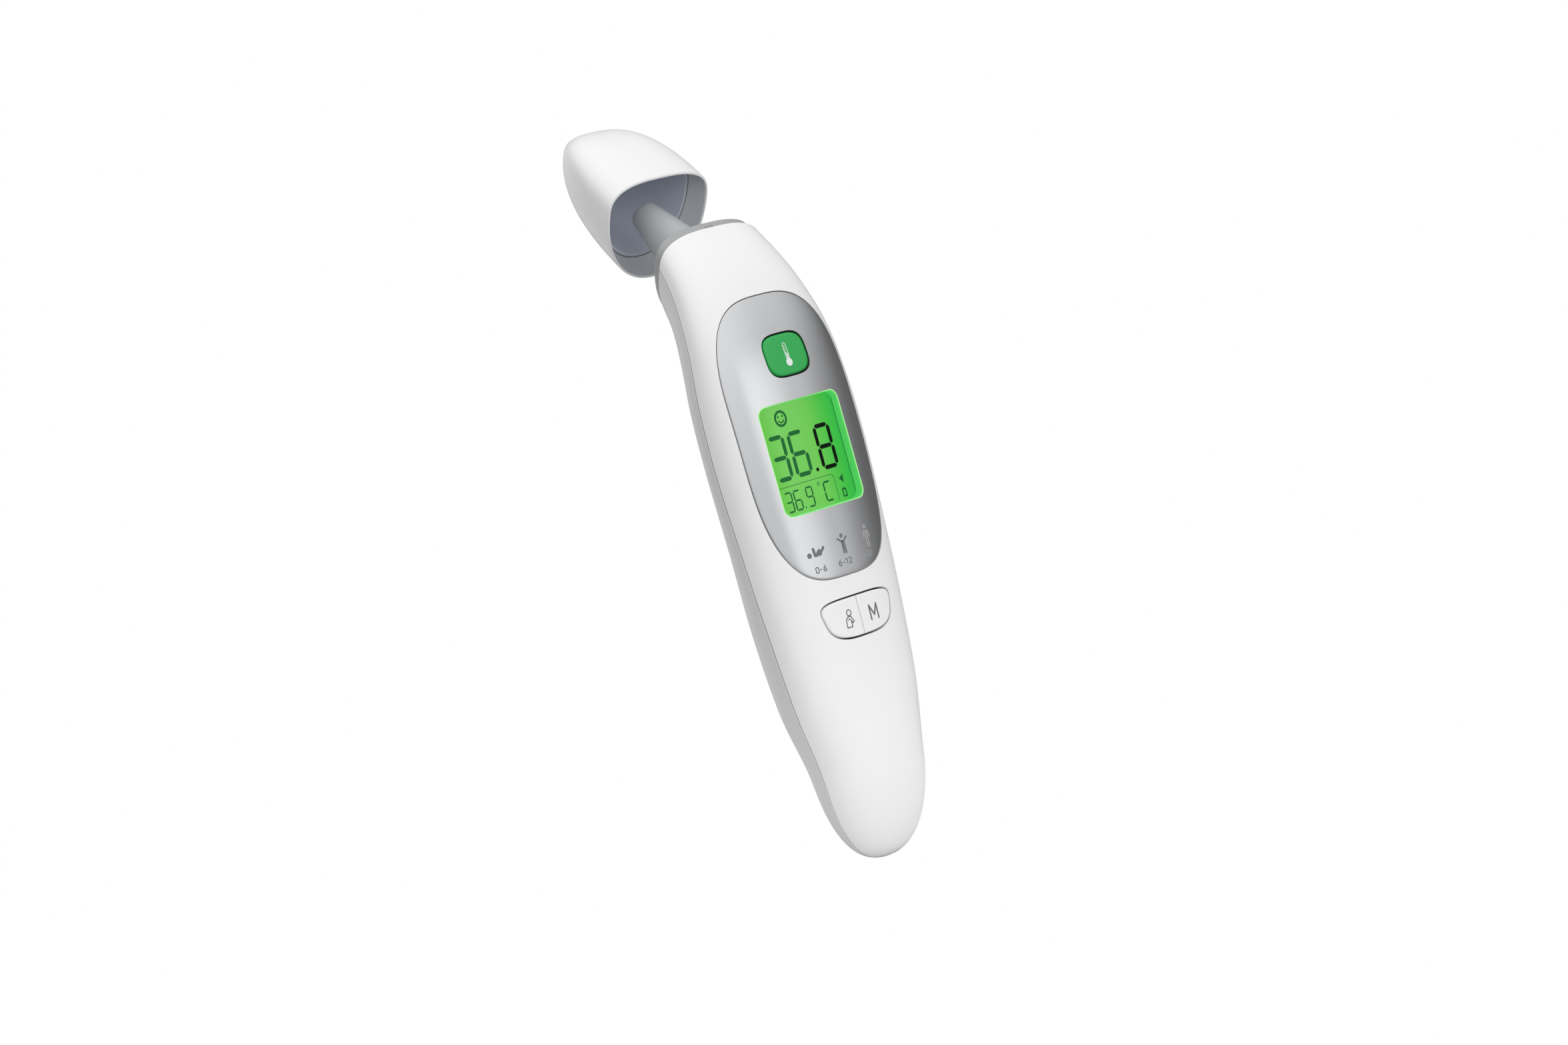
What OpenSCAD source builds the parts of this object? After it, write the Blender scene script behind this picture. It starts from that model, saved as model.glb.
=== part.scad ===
// Digital ear thermometer with a pull-off probe cap.
// +Z runs up the handle to the head, -Y is the front with the display, and the probe leans to +Y.

/* [Casing] */
// Height of the casing without the cap
casing_height = 139.4; // [138:0.2:141]
// Width of the casing beside the display
casing_width = 41.2; // [40.6:0.2:43]
// Thickness of the plastic walls
wall = 1.8; // [1.6:0.1:2]

/* [Panel and keys] */
// Width of the silver panel
panel_w = 34.6; // [32:0.2:35]
// Thickness of the silver panel
panel_t = 1; // [0.8:0.1:1]
// Width of the display window
window_w = 23.4; // [21:0.2:23.4]
// Height of the display window
window_h = 24; // [21:0.5:24]
// Width of the scan button
scan_w = 11.6; // [10:0.2:12]
// Height of the scan button
scan_h = 9; // [8:0.2:9.4]
// Width of the pair of keys
keys_w = 19; // [17:0.5:20]
// Height of the pair of keys
keys_h = 8.4; // [7:0.2:9]
// How far the buttons and keys press in
key_travel = 0.4; // [0.2:0.05:0.4]
// Gap around the buttons and keys
key_gap = 0.25; // [0.2:0.05:0.3]

/* [Probe] */
// Angle of the probe from the handle's axis
probe_lean = 40; // [38:0.5:41]
// Length of the probe beyond the mouth of the head
probe_len = 22.6; // [20:0.2:22.8]
// Radius of the probe at its tip
probe_tip_r = 3.1; // [2.8:0.1:3.2]
// Radius of the probe at the mouth of the head
probe_base_r = 7.2; // [6.8:0.1:7.4]

/* [Cap] */
// Length of the cap from the middle of its rim to its end
cap_len = 26.8; // [26.6:0.2:30]
// Thickness of the cap's outer wall
cap_wall = 1.4; // [1.2:0.1:1.6]
// How far the cap is pulled off
cap_open = 17.6; // [0.2:0.1:30]

/* [Batteries] */
// Radius of an AAA cell
cell_r = 5.25; // [5:0.05:5.25]
// Length of an AAA cell
cell_len = 44.5; // [43:0.5:44.5]

/* [Hidden] */
$fn = 48;
tiny = 0.01;
far = 60;

// Sections of the casing from the tail to the mouth of the head, in the side view. Each has
// [front y, front z, rear y, rear z, half width, share of the depth in front of the seam,
// roundness of the front, roundness of the rear], for the nominal height and width.
stations = [
    [-5.9, -1.4, 10.7, -1.4, 11.9, 0.494, 2.25, 2.2],
    [-8.3, 18, 10.6, 18, 13.6, 0.461, 2.4, 2.2],
    [-9.1, 34, 13.2, 34, 16.6, 0.41, 2.6, 2.2],
    [-9.6, 52, 13.4, 52, 18.4, 0.417, 2.7, 2.2],
    [-9.7, 70, 11.4, 70, 19.7, 0.459, 2.7, 2.2],
    [-9.6, 88, 10.4, 87, 20.6, 0.479, 2.7, 2.2],
    [-9.1, 102.7, 10.5, 99, 20.3, 0.462, 2.7, 2.2],
    [-7.7, 114, 10.8, 106.5, 19.1, 0.422, 2.75, 2.2],
    [-4.7, 123.8, 11.6, 111.2, 17.5, 0.379, 2.75, 2.2],
    [-1.2, 131, 13, 114.6, 16, 0.337, 2.8, 2.15],
    [3.3, 138, 14.8, 117.8, 14.6, 0.3, 2.8, 2.1]
];
last = len(stations) - 1;
nominal_height = 139.4;
nominal_width = 41.2;
z_scale = casing_height / nominal_height;
x_scale = casing_width / nominal_width;
tail_length = 19.4;
tail_roundness = 2.3;
tail_rings = 8;
rings_per_station = 3;
half_arc = 20;

// Places along the handle
split_z = 95;
panel_top_z = 121.2;
panel_bottom_z = 59.3;
panel_x = -0.4;
window_z = 86;
window_x = -0.6;
scan_z = 107.6;
keys_z = 50.4;
// Depths behind the front, on the y axis
lcd_y = -6.9;
lcd_t = 1.2;
board_y = -4;
board_t = 1;
switch_t = 1;
flange_y = -5.85;
flange_t = 0.4;
stem_r = 1.6;
// How far the buttons and keys stand out of the surface round them
key_proud = 0.2;
// Battery bay
cell_x = 5.55;
cell_y = 3.85;
cell_z = 27.4;
tray_w = 23.4;
tray_wall = 0.75;
tray_front_y = -2.7;
tray_rear_y = 3.6;
tray_z0 = 24;
tray_z1 = 75.2;
contact_t = 0.4;
cover_w = 23.4;
cover_z0 = 22;
cover_z1 = 76;
// Flat land for a label on the rear shell
land_y = 9.4;
land_w = 18;
land_h = 14;
land_z = 87;

// ---- Curves --------------------------------------------------------------------------------

// A smooth curve through four neighbouring sections
function blend(a, b, c, d, t) =
    0.5 * (2 * b + (c - a) * t + (2 * a - 5 * b + 4 * c - d) * t * t + (3 * b - a - 3 * c + d) * t * t * t);

function section(s) = let (
        i = max(0, min(floor(s), last - 1)),
        b = stations[i],
        c = stations[i + 1],
        a = i > 0 ? stations[i - 1] : 2 * b - c,
        d = i < last - 1 ? stations[i + 2] : 2 * c - b
    ) blend(a, b, c, d, s - i);

// How much of the full section is left where the tail rounds off
function tail_share(s) = s >= 1 ? 1 : pow(max(0, 1 - pow(1 - s, tail_roundness)), 1 / tail_roundness);

function signed_pow(v, e) = sign(v) * pow(abs(v), e);

// A point of the casing's surface, sunk by inset. ang runs from 180 at the left seam through 270
// at the front to 360 at the right seam, and from 0 to 180 round the rear.
function casing_point(s, ang, inset) = let (
        st = section(s),
        start = inset / tail_length,
        share = tail_share((s - start) / (1 - start)),
        front = [st[0], st[1] * z_scale],
        rear = [st[2], st[3] * z_scale],
        depth = norm(rear - front),
        dir = (rear - front) / depth,
        seam = front + dir * depth * st[5],
        in_front = sin(ang) < 0,
        reach = (in_front ? st[5] : 1 - st[5]) * depth,
        e = 2 / (in_front ? st[6] : st[7]),
        x = signed_pow(cos(ang), e) * (st[4] * x_scale - inset) * share,
        v = signed_pow(sin(ang), e) * (reach - inset) * share
    ) [x, seam[0] + dir[0] * v, seam[1] + dir[1] * v];

// The point where a surface sunk by inset closes at the tail
function tail_point(inset) = let (st = section(inset / tail_length))
    [0, st[0] + (st[2] - st[0]) * st[5], st[1] * z_scale];

function tail_params(inset) = let (start = inset / tail_length)
    [for (j = [1 : tail_rings]) start + (1 - start) * (1 - cos(90 * j / tail_rings))];

function body_params(s0, s1, per_station) = let (n = ceil((s1 - s0) * per_station))
    [for (j = [0 : n]) s0 + (s1 - s0) * j / n];

function steps(a, b, n) = [for (i = [0 : n]) a + (b - a) * i / n];

// ---- Solids from curved grids --------------------------------------------------------------

function grid_points(grid) = [for (row = grid) for (p = row) p];

// Two triangles for each cell of a grid whose first point is at base
function grid_faces(rows, cols, base, flip) = [
    for (r = [0 : rows - 2]) for (c = [0 : cols - 2]) let (
        a = base + r * cols + c, b = a + 1, d = a + cols, e = d + 1
    ) each (flip ? [[a, d, e], [a, e, b]] : [[a, e, d], [a, b, e]])
];

// Strip of triangles between two equal lists of point numbers
function strip(p, q) = [for (i = [0 : len(p) - 2]) each [[p[i], q[i], q[i + 1]], [p[i], q[i + 1], p[i + 1]]]];

// A curved plate between an outer and an inner grid
module plate_solid(outer, inner) {
    rows = len(outer);
    cols = len(outer[0]);
    n = rows * cols;
    first = [for (c = [0 : cols - 1]) c];
    top = [for (c = [0 : cols - 1]) (rows - 1) * cols + c];
    left = [for (r = [0 : rows - 1]) r * cols];
    right = [for (r = [0 : rows - 1]) r * cols + cols - 1];
    polyhedron(
        points = concat(grid_points(outer), grid_points(inner)),
        faces = concat(
            grid_faces(rows, cols, 0, false), grid_faces(rows, cols, n, true),
            strip([for (i = first) i + n], first), strip(top, [for (i = top) i + n]),
            strip(left, [for (i = left) i + n]), strip([for (i = right) i + n], right)));
}

// A half shell that closes at the tail, between two surfaces of the casing
module half_shell(a0, a1, outer_inset, inner_inset) {
    angs = steps(a0, a1, half_arc);
    rest = [for (s = body_params(1, last, rings_per_station)) if (s > 1) s];
    outer = [for (s = concat(tail_params(outer_inset), rest))
        [for (a = angs) casing_point(s, a, outer_inset)]];
    inner = [for (s = concat(tail_params(inner_inset), rest))
        [for (a = angs) casing_point(s, a, inner_inset)]];
    rows = len(outer);
    cols = len(angs);
    n = rows * cols;
    pole = 2 * n;
    top = [for (c = [0 : cols - 1]) (rows - 1) * cols + c];
    left = [for (r = [0 : rows - 1]) r * cols];
    right = [for (r = [0 : rows - 1]) r * cols + cols - 1];
    polyhedron(
        points = concat(
            grid_points(outer), grid_points(inner), [tail_point(outer_inset), tail_point(inner_inset)]),
        faces = concat(
            grid_faces(rows, cols, 0, false), grid_faces(rows, cols, n, true),
            strip(top, [for (i = top) i + n]),
            strip(left, [for (i = left) i + n]), strip([for (i = right) i + n], right),
            [for (c = [0 : cols - 2]) [pole, c + 1, c]],
            [for (c = [0 : cols - 2]) [pole + 1, n + c, n + c + 1]],
            [[pole, 0, n], [pole, n, pole + 1],
             [pole, n + cols - 1, cols - 1], [pole, pole + 1, n + cols - 1]]));
}

// A layer of the casing's front or rear wall between two depths
module wall_layer(s0, s1, a0, a1, outer_inset, inner_inset, per_station = 4, arc = 20) {
    params = body_params(s0, s1, per_station);
    angs = steps(a0, a1, arc);
    plate_solid(
        [for (s = params) [for (a = angs) casing_point(s, a, outer_inset)]],
        [for (s = params) [for (a = angs) casing_point(s, a, inner_inset)]]);
}

// ---- Outlines in the front view, as prisms along y ------------------------------------------

module front_prism(y0, y1) {
    translate([0, y1, 0]) rotate([90, 0, 0]) linear_extrude(y1 - y0) children();
}

// The egg-shaped outline of the silver panel
module panel_outline(grow = 0) {
    top = panel_top_z - split_z;
    bottom = split_z - panel_bottom_z;
    translate([panel_x, split_z]) polygon([for (a = [0 : 6 : 354]) let (
            e = 2 / (sin(a) > 0 ? 3 : 3.4),
            reach = sin(a) > 0 ? top : bottom
        ) [signed_pow(cos(a), e) * (panel_w / 2 + grow), signed_pow(sin(a), e) * (reach + grow)]]);
}

// A rectangle with round corners
module round_rect(w, h, r) {
    for (x = [-1, 1]) for (y = [-1, 1])
        translate([x * (w / 2 - r), y * (h / 2 - r)]) circle(r);
    square([w - 2 * r, h], center = true);
    square([w, h - 2 * r], center = true);
}

module window_outline(grow = 0) {
    translate([window_x, window_z]) round_rect(window_w + 2 * grow, window_h + 2 * grow, 2.2 + grow);
}

// The rounded square of the scan button
module scan_outline(grow = 0) {
    roundness = 3.4;
    translate([0, scan_z]) polygon([for (a = [0 : 10 : 350])
        [signed_pow(cos(a), 2 / roundness) * (scan_w / 2 + grow),
         signed_pow(sin(a), 2 / roundness) * (scan_h / 2 + grow)]]);
}

// The outline of the two keys together: wide and square above, narrower and rounder below
module keys_outline(grow = 0) {
    translate([0, keys_z]) polygon([for (a = [0 : 6 : 354]) let (
            high = sin(a) > 0,
            e = 2 / (high ? 4.5 : 3),
            up = signed_pow(sin(a), e),
            taper = 1 + 0.12 * up
        ) [signed_pow(cos(a), e) * (keys_w / 2 * taper + grow), up * (keys_h / 2 + grow)]]);
}

// ---- Places in the leaning head --------------------------------------------------------------

probe_dir = [0, sin(probe_lean), cos(probe_lean)];
rim = section(last);
rim_front = [rim[0], rim[1] * z_scale];
rim_rear = [rim[2], rim[3] * z_scale];
rim_mid = (rim_front + rim_rear) / 2;
rim_dir = (rim_rear - rim_front) / norm(rim_rear - rim_front);
probe_root = rim_mid;

// Puts its children on the probe's axis, with z counted outwards from the mouth of the head
module on_probe() {
    translate([0, probe_root[0], probe_root[1]]) rotate([-probe_lean, 0, 0]) children();
}

// A point of the mouth's outline, sunk by inset and moved out along the probe
function mouth_point(ang, inset, out) = casing_point(last, ang, inset) + probe_dir * out;

// The middle of the mouth, where the cap's sections are centred
mouth_centre = [0, rim_mid[0], rim_mid[1]];

cap_roundness = 2.4;

// A point of the cap's surface: t runs from 0 at the rim to 1 at its end
function cap_point(t, ang, inset, length) = let (
        share = pow(max(0, 1 - pow(t, cap_roundness)), 1 / cap_roundness)
    ) mouth_centre + (mouth_point(ang, inset, 0) - mouth_centre) * share + probe_dir * t * length;

// A cup that closes at the end of the cap, between two of the cap's surfaces
module cap_cup(outer_inset, inner_inset, outer_start, inner_start, outer_len, inner_len) {
    n_rings = 14;
    cols = 40;
    angs = [for (c = [0 : cols - 1]) 360 * c / cols];
    turn = [for (j = [0 : n_rings - 1]) sin(90 * j / n_rings)];
    outer = [for (u = turn) let (t = outer_start + (1 - outer_start) * u)
        [for (a = angs) cap_point(t, a, outer_inset, outer_len)]];
    inner = [for (u = turn) let (t = inner_start + (1 - inner_start) * u)
        [for (a = angs) cap_point(t, a, inner_inset, inner_len)]];
    n = n_rings * cols;
    end = (n_rings - 1) * cols;
    function at(base, r, c) = base + r * cols + (c % cols);
    polyhedron(
        points = concat(grid_points(outer), grid_points(inner),
            [mouth_centre + probe_dir * outer_len, mouth_centre + probe_dir * inner_len]),
        faces = [for (c = [0 : cols - 1]) each concat(
            [for (r = [0 : n_rings - 2]) each [
                [at(0, r, c), at(0, r + 1, c), at(0, r + 1, c + 1)],
                [at(0, r, c), at(0, r + 1, c + 1), at(0, r, c + 1)],
                [at(n, r, c), at(n, r + 1, c + 1), at(n, r + 1, c)],
                [at(n, r, c), at(n, r, c + 1), at(n, r + 1, c + 1)]]],
            [[at(0, 0, c), at(0, 0, c + 1), at(n, 0, c + 1)],
             [at(0, 0, c), at(n, 0, c + 1), at(n, 0, c)],
             [end + c, 2 * n, end + (c + 1) % cols],
             [n + end + c, n + end + (c + 1) % cols, 2 * n + 1]])]);
}

// The row's origin is below the middle of the whole object, cap and all, level with the tail's end
cap_reach_y = max([for (t = [0 : 0.02 : 1]) for (a = [0 : 6 : 180]) cap_point(t, a, 0, cap_len)[1]])
    + probe_dir[1] * cap_open;
front_reach_y = min([for (s = [2.5 : 0.05 : 3.15]) casing_point(s, 270, -key_proud)[1]]);
origin_y = (cap_reach_y + front_reach_y) / 2;

module placed() {
    translate([0, -origin_y, -stations[0][1] * z_scale]) children();
}

// ---- Casing ----------------------------------------------------------------------------------

screw_places = [[0, 14], [-14.2, 104], [14.2, 104]];
front_boss_y = [-7, -6.2, -6.2];
rear_boss_y = [9.4, 5, 5];
screw_head_y = 3;
screw_r = 0.75;

module front_shell() {
    color("white") placed() difference() {
        union() {
            half_shell(180, 360, 0, wall);
            for (i = [0 : 2]) front_prism(front_boss_y[i], -0.1) translate(screw_places[i]) circle(2.2);
        }
        intersection() {
            front_prism(-far, -1) panel_outline(0.1);
            wall_layer(3, 8.6, 184, 356, -2, panel_t + 0.05);
        }
        block(window_w + 3.2, -far, -1, window_z - window_h / 2 - 1.6, window_z + window_h / 2 + 1.6,
            window_x);
        front_prism(-far, -1) scan_outline(key_gap);
        front_prism(-far, -1) keys_outline(key_gap);
        for (p = screw_places) front_prism(-5, 1) translate(p) circle(screw_r + 0.05);
    }
}

module rear_shell() {
    color("lightgray") placed() difference() {
        union() {
            half_shell(0, 180, 0, wall);
            for (i = [0 : 2]) front_prism(0.1, rear_boss_y[i]) translate(screw_places[i]) circle(2.9);
        }
        front_prism(tray_rear_y + 0.05, far) translate([0, (cover_z0 + cover_z1) / 2])
            square([cover_w + 0.4, cover_z1 - cover_z0 + 0.4], center = true);
        front_prism(land_y, far) translate([0, land_z]) square([land_w, land_h], center = true);
        for (p = screw_places) {
            front_prism(-1, far) translate(p) circle(screw_r + 0.25);
            front_prism(screw_head_y, far) translate(p) circle(2);
        }
    }
}

module display_panel() {
    color("silver") placed() difference() {
        intersection() {
            front_prism(-far, -1) panel_outline();
            wall_layer(3, 8.6, 184, 356, 0, panel_t);
        }
        front_prism(-far, -1) window_outline();
        front_prism(-far, -1) scan_outline(key_gap);
    }
}

module display_lens() {
    color("palegreen") placed() intersection() {
        front_prism(-far, -1) window_outline(-0.05);
        wall_layer(3.8, 6.4, 205, 335, 0.1, panel_t - 0.1);
    }
}

// ---- Display and board -------------------------------------------------------------------------

// A block given by its width, its two y faces and its two z faces
module block(w, y0, y1, z0, z1, x = 0) {
    translate([x - w / 2, y0, z0]) cube([w, y1 - y0, z1 - z0]);
}

lcd_z0 = window_z - 12.5;
lcd_z1 = window_z + 12.5;
backlight_z0 = lcd_z0 + 3;

module lcd_glass() {
    color("limegreen") placed() block(24.5, lcd_y, lcd_y + lcd_t, lcd_z0, lcd_z1);
}

module lcd_backlight() {
    color("honeydew") placed() block(24, lcd_y + lcd_t, board_y, backlight_z0, lcd_z1);
}

module lcd_frame() {
    color("ivory") placed() difference() {
        block(27, lcd_y + lcd_t + 0.1, board_y, lcd_z0 - 1.4, lcd_z1 + 1.4);
        block(24.6, lcd_y, board_y + 1, lcd_z0 - 0.1, lcd_z1 + 0.1);
    }
}

module zebra_strip() {
    color("hotpink") placed() block(21, lcd_y + lcd_t, board_y, lcd_z0 + 0.3, backlight_z0 - 0.4);
}

board_z0 = 44;
board_z1 = 112;

module main_board() {
    color("darkgreen") placed() front_prism(board_y, board_y + board_t)
        translate([0, (board_z0 + board_z1) / 2]) round_rect(23.6, board_z1 - board_z0, 2);
}

// Packages on the rear of the board: [x, z, width, height, thickness]
chips = [[-5, 98, 9, 9, 1.4], [6, 104, 5, 4, 1.2], [6, 96, 5, 5, 1.2], [-7, 107.5, 3, 2, 0.8],
    [-2, 107.5, 3, 2, 0.8]];

module board_chips() {
    rear = board_y + board_t;
    color("black") placed() for (c = chips)
        block(c[2], rear, rear + c[4], c[1] - c[3] / 2, c[1] + c[3] / 2, c[0]);
}

module buzzer() {
    rear = board_y + board_t;
    color("dimgray") placed() translate([0, 0, 84]) rotate([-90, 0, 0]) translate([0, 0, rear]) difference() {
        cylinder(r = 5.5, h = 3.2);
        translate([0, 0, 2.4]) cylinder(r = 1, h = 2);
    }
}

// ---- Buttons and keys --------------------------------------------------------------------------

key_x = 4.8;
stem_y0 = flange_y + flange_t;
stem_y1 = board_y - 0.6;

module stem(x, z) {
    color("black") placed() front_prism(stem_y0, stem_y1) translate([x, z]) circle(stem_r);
}

module switch_body(x, z) {
    color("gainsboro") placed() difference() {
        block(5, board_y - switch_t, board_y, z - 2.5, z + 2.5, x);
        front_prism(board_y - far, stem_y1 + key_travel + 0.05) translate([x, z]) circle(stem_r + 0.05);
    }
}

module scan_button() {
    color("mediumseagreen") placed() {
        intersection() {
            front_prism(-far, -1) scan_outline();
            wall_layer(5.6, 8.2, 225, 315, -key_proud, 1.9);
        }
        front_prism(-7.3, flange_y + 0.1) scan_outline(-0.6);
        block(13.2, flange_y, flange_y + flange_t, scan_z - 4.9, scan_z + 2.4);
    }
}

module scan_stem() stem(0, scan_z);
module scan_switch() switch_body(0, scan_z);

// One of the two keys: side is -1 for the left one and 1 for the right one
module key(side) {
    split = 0.08;
    color("whitesmoke") placed() intersection() {
        union() {
            intersection() {
                front_prism(-far, -1) keys_outline();
                wall_layer(2.3, 3.5, 205, 335, -key_proud, 1.9);
            }
            front_prism(-8, flange_y + 0.1) keys_outline(-0.6);
            block(20.4, flange_y, flange_y + flange_t, keys_z - 4.8, keys_z + 4.8);
        }
        translate([side > 0 ? split : -far - split, -far, 0]) cube([far, far, far * 2]);
    }
}

module age_key() key(-1);
module age_stem() stem(-key_x, keys_z);
module age_switch() switch_body(-key_x, keys_z);
module memory_key() key(1);
module memory_stem() stem(key_x, keys_z);
module memory_switch() switch_body(key_x, keys_z);

// ---- Probe and sensor --------------------------------------------------------------------------

// A plug that fills the mouth of the head, between two distances out along the probe
module mouth_plug(inset, out0, out1, inset1 = undef) {
    outer_inset = is_undef(inset1) ? inset : inset1;
    cols = 44;
    angs = [for (c = [0 : cols - 1]) 360 * c / cols];
    polyhedron(
        points = concat(
            [for (a = angs) mouth_point(a, inset, out0)], [for (a = angs) mouth_point(a, outer_inset, out1)],
            [mouth_centre + probe_dir * out0, mouth_centre + probe_dir * out1]),
        faces = [for (c = [0 : cols - 1]) let (d = (c + 1) % cols) each [
            [c, cols + c, cols + d], [c, cols + d, d],
            [c, d, 2 * cols], [cols + d, cols + c, 2 * cols + 1]]]);
}

plunger_x = -9.6;
plunger_r = 0.8;
plunger_travel = 0.8;
plunger_root = rim_front + rim_dir * 7.2;
collar_back = -3;
lip_inset = 0.75;
lip_height = 2.4;

// Puts its children on the cap plunger's axis, with z counted outwards from the mouth of the head
module on_plunger() {
    translate([plunger_x, plunger_root[0], plunger_root[1]]) rotate([-probe_lean, 0, 0]) children();
}

module probe_collar() {
    color("darkgray") placed() difference() {
        union() {
            mouth_plug(wall + 1, collar_back, 0.1, wall + 0.2);
            mouth_plug(lip_inset, 0.03, lip_height);
        }
        mouth_plug(wall + 1, 0.2, lip_height + 2);
        on_probe() rotate_extrude() polygon([[0, -15], [probe_base_r + 0.1, -15], [probe_base_r + 0.1, 0],
            [probe_tip_r + 0.3, probe_len - 1], [0, probe_len - 1]]);
        on_plunger() translate([0, 0, -15]) cylinder(r = plunger_r + 0.08, h = 30);
        translate([-1.2, rim_front[0], rim_front[1]]) rotate([-probe_lean, 0, 0])
            translate([0, -1, 0.4]) cube([2.4, 5, 5]);
    }
}

module probe_cone() {
    bore = 2;
    seat = 2.45;
    thick = 1;
    root = -4.5;
    color("darkgray") placed() on_probe() rotate_extrude() polygon([
        [probe_base_r - thick, root], [probe_base_r, root], [probe_base_r, 0],
        [probe_tip_r + 0.2, probe_len - 1], [probe_tip_r, probe_len - 0.35],
        [probe_tip_r - 0.15, probe_len - 0.1], [probe_tip_r - 0.35, probe_len],
        [seat, probe_len], [seat, probe_len - 0.8], [bore, probe_len - 0.8], [bore, probe_len - 2.4],
        [probe_tip_r - 0.5, probe_len - 2.4], [probe_base_r - thick, 0]]);
}

module probe_window() {
    color("darkslategray") placed() on_probe() translate([0, 0, probe_len - 0.8]) cylinder(r = 2.4, h = 0.5);
}

can_z = 7.8;
can_h = 3.9;
can_r = 2.7;
sleeve_z = 6.2;

module wave_tube() {
    color("gold") placed() on_probe() translate([0, 0, can_z + can_h]) difference() {
        cylinder(r = 1.9, h = probe_len - 0.9 - can_z - can_h);
        translate([0, 0, -1]) cylinder(r = 1.5, h = 20);
    }
}

module sensor_can() {
    color("lightsteelblue") placed() on_probe() {
        translate([0, 0, can_z]) cylinder(r = can_r, h = can_h);
        translate([0, 0, can_z - 0.6]) cylinder(r = can_r + 0.3, h = 0.6);
        for (a = [45 : 90 : 315]) rotate([0, 0, a])
            translate([1.8, 0, sleeve_z - 1.6]) cylinder(r = 0.22, h = can_z - sleeve_z + 1.2);
    }
}

module sensor_sleeve() {
    color("burlywood") placed() on_probe() difference() {
        translate([0, 0, sleeve_z]) cylinder(r = 3.45, h = 6.4);
        translate([0, 0, sleeve_z - 1]) cylinder(r = can_r + 0.35, h = can_z - sleeve_z + 1);
        translate([0, 0, can_z - 1]) cylinder(r = can_r + 0.05, h = can_h + 1);
        translate([0, 0, can_z]) cylinder(r = 1.95, h = 10);
    }
}

module sensor_board() {
    color("darkgreen") placed() on_probe() difference() {
        translate([0, 0, sleeve_z - 1]) cylinder(r = 4.6, h = 1);
        for (a = [45 : 90 : 315]) rotate([0, 0, a]) translate([1.8, 0, 0]) cylinder(r = 0.27, h = 10);
    }
}

// Side view of the flat ribbon: from the sensor board back into the head and down the rear of the main board
ribbon_t = 0.2;
ribbon_path = [
    probe_root + [probe_dir[1], probe_dir[2]] * (sleeve_z - 1.05),
    probe_root - [probe_dir[1], probe_dir[2]] * 5,
    [1.6, 119], [-1.4, 115.5], [-2.89, 111.5], [-2.89, 109.8]];

module sensor_ribbon() {
    normals = [for (i = [0 : len(ribbon_path) - 1]) let (
            a = ribbon_path[max(i - 1, 0)],
            b = ribbon_path[min(i + 1, len(ribbon_path) - 1)],
            d = (b - a) / norm(b - a)
        ) [-d[1], d[0]]];
    one_side = [for (i = [0 : len(ribbon_path) - 1]) ribbon_path[i] + normals[i] * ribbon_t / 2];
    other_side = [for (i = [len(ribbon_path) - 1 : -1 : 0]) ribbon_path[i] - normals[i] * ribbon_t / 2];
    color("chocolate") placed() translate([-2.5, 0, 0]) rotate([90, 0, 90])
        linear_extrude(5) polygon(concat(one_side, other_side));
}

module cap_plunger() {
    color("dimgray") placed() on_plunger() {
        translate([0, 0, -5.4]) cylinder(r = plunger_r, h = 5.4 + lip_height + 0.3);
        translate([0, 0, -5.4]) cylinder(r = 1.3, h = 0.5);
    }
}

module cap_switch() {
    color("gainsboro") placed() on_plunger() difference() {
        translate([0, 0, -8.2]) cylinder(r = 2.2, h = 4.1);
        translate([0, 0, -5.4 - plunger_travel - 0.1]) cylinder(r = 1.4, h = 5);
    }
}

// ---- Cap ---------------------------------------------------------------------------------------

liner_start = 5;
liner_t = 0.8;

module cap_shell() {
    rim_wall = lip_inset - 0.15;
    rim_height = lip_height + 0.3;
    color("white") placed() translate(probe_dir * cap_open) difference() {
        cap_cup(0, cap_wall, 0, 0, cap_len, cap_len - cap_wall);
        mouth_plug(rim_wall, -1, rim_height);
        mouth_plug(rim_wall, rim_height - 0.01, liner_start, cap_wall + 0.2);
    }
}

module cap_liner() {
    gap = 0.1;
    outer_len = cap_len - cap_wall - gap;
    inner_len = outer_len - liner_t;
    color("slategray") placed() translate(probe_dir * cap_open)
        cap_cup(cap_wall + gap, cap_wall + gap + liner_t, liner_start / outer_len, liner_start / inner_len,
            outer_len, inner_len);
}

// ---- Batteries ---------------------------------------------------------------------------------

nub_h = 0.8;

// An AAA cell; its terminal points up when up is true
module cell(x, up) {
    color(up ? "royalblue" : "orange") placed() translate([x, cell_y, cell_z + (up ? 0 : cell_len)])
        mirror([0, 0, up ? 0 : 1]) {
            cylinder(r = cell_r, h = cell_len - nub_h);
            translate([0, 0, cell_len - nub_h]) cylinder(r = 1.9, h = nub_h);
        }
}

module battery_left() cell(-cell_x, true);
module battery_right() cell(cell_x, false);

module battery_tray() {
    color("gainsboro") placed() difference() {
        block(tray_w, tray_front_y, tray_rear_y, tray_z0, tray_z1);
        block(tray_w - 2 * tray_wall, tray_front_y + 1.2, far, tray_z0 + tray_wall, tray_z1 - tray_wall);
    }
}

spring_turns = 2.5;
spring_steps = 14;
wire_r = 0.25;
spring_sides = 6;

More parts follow.
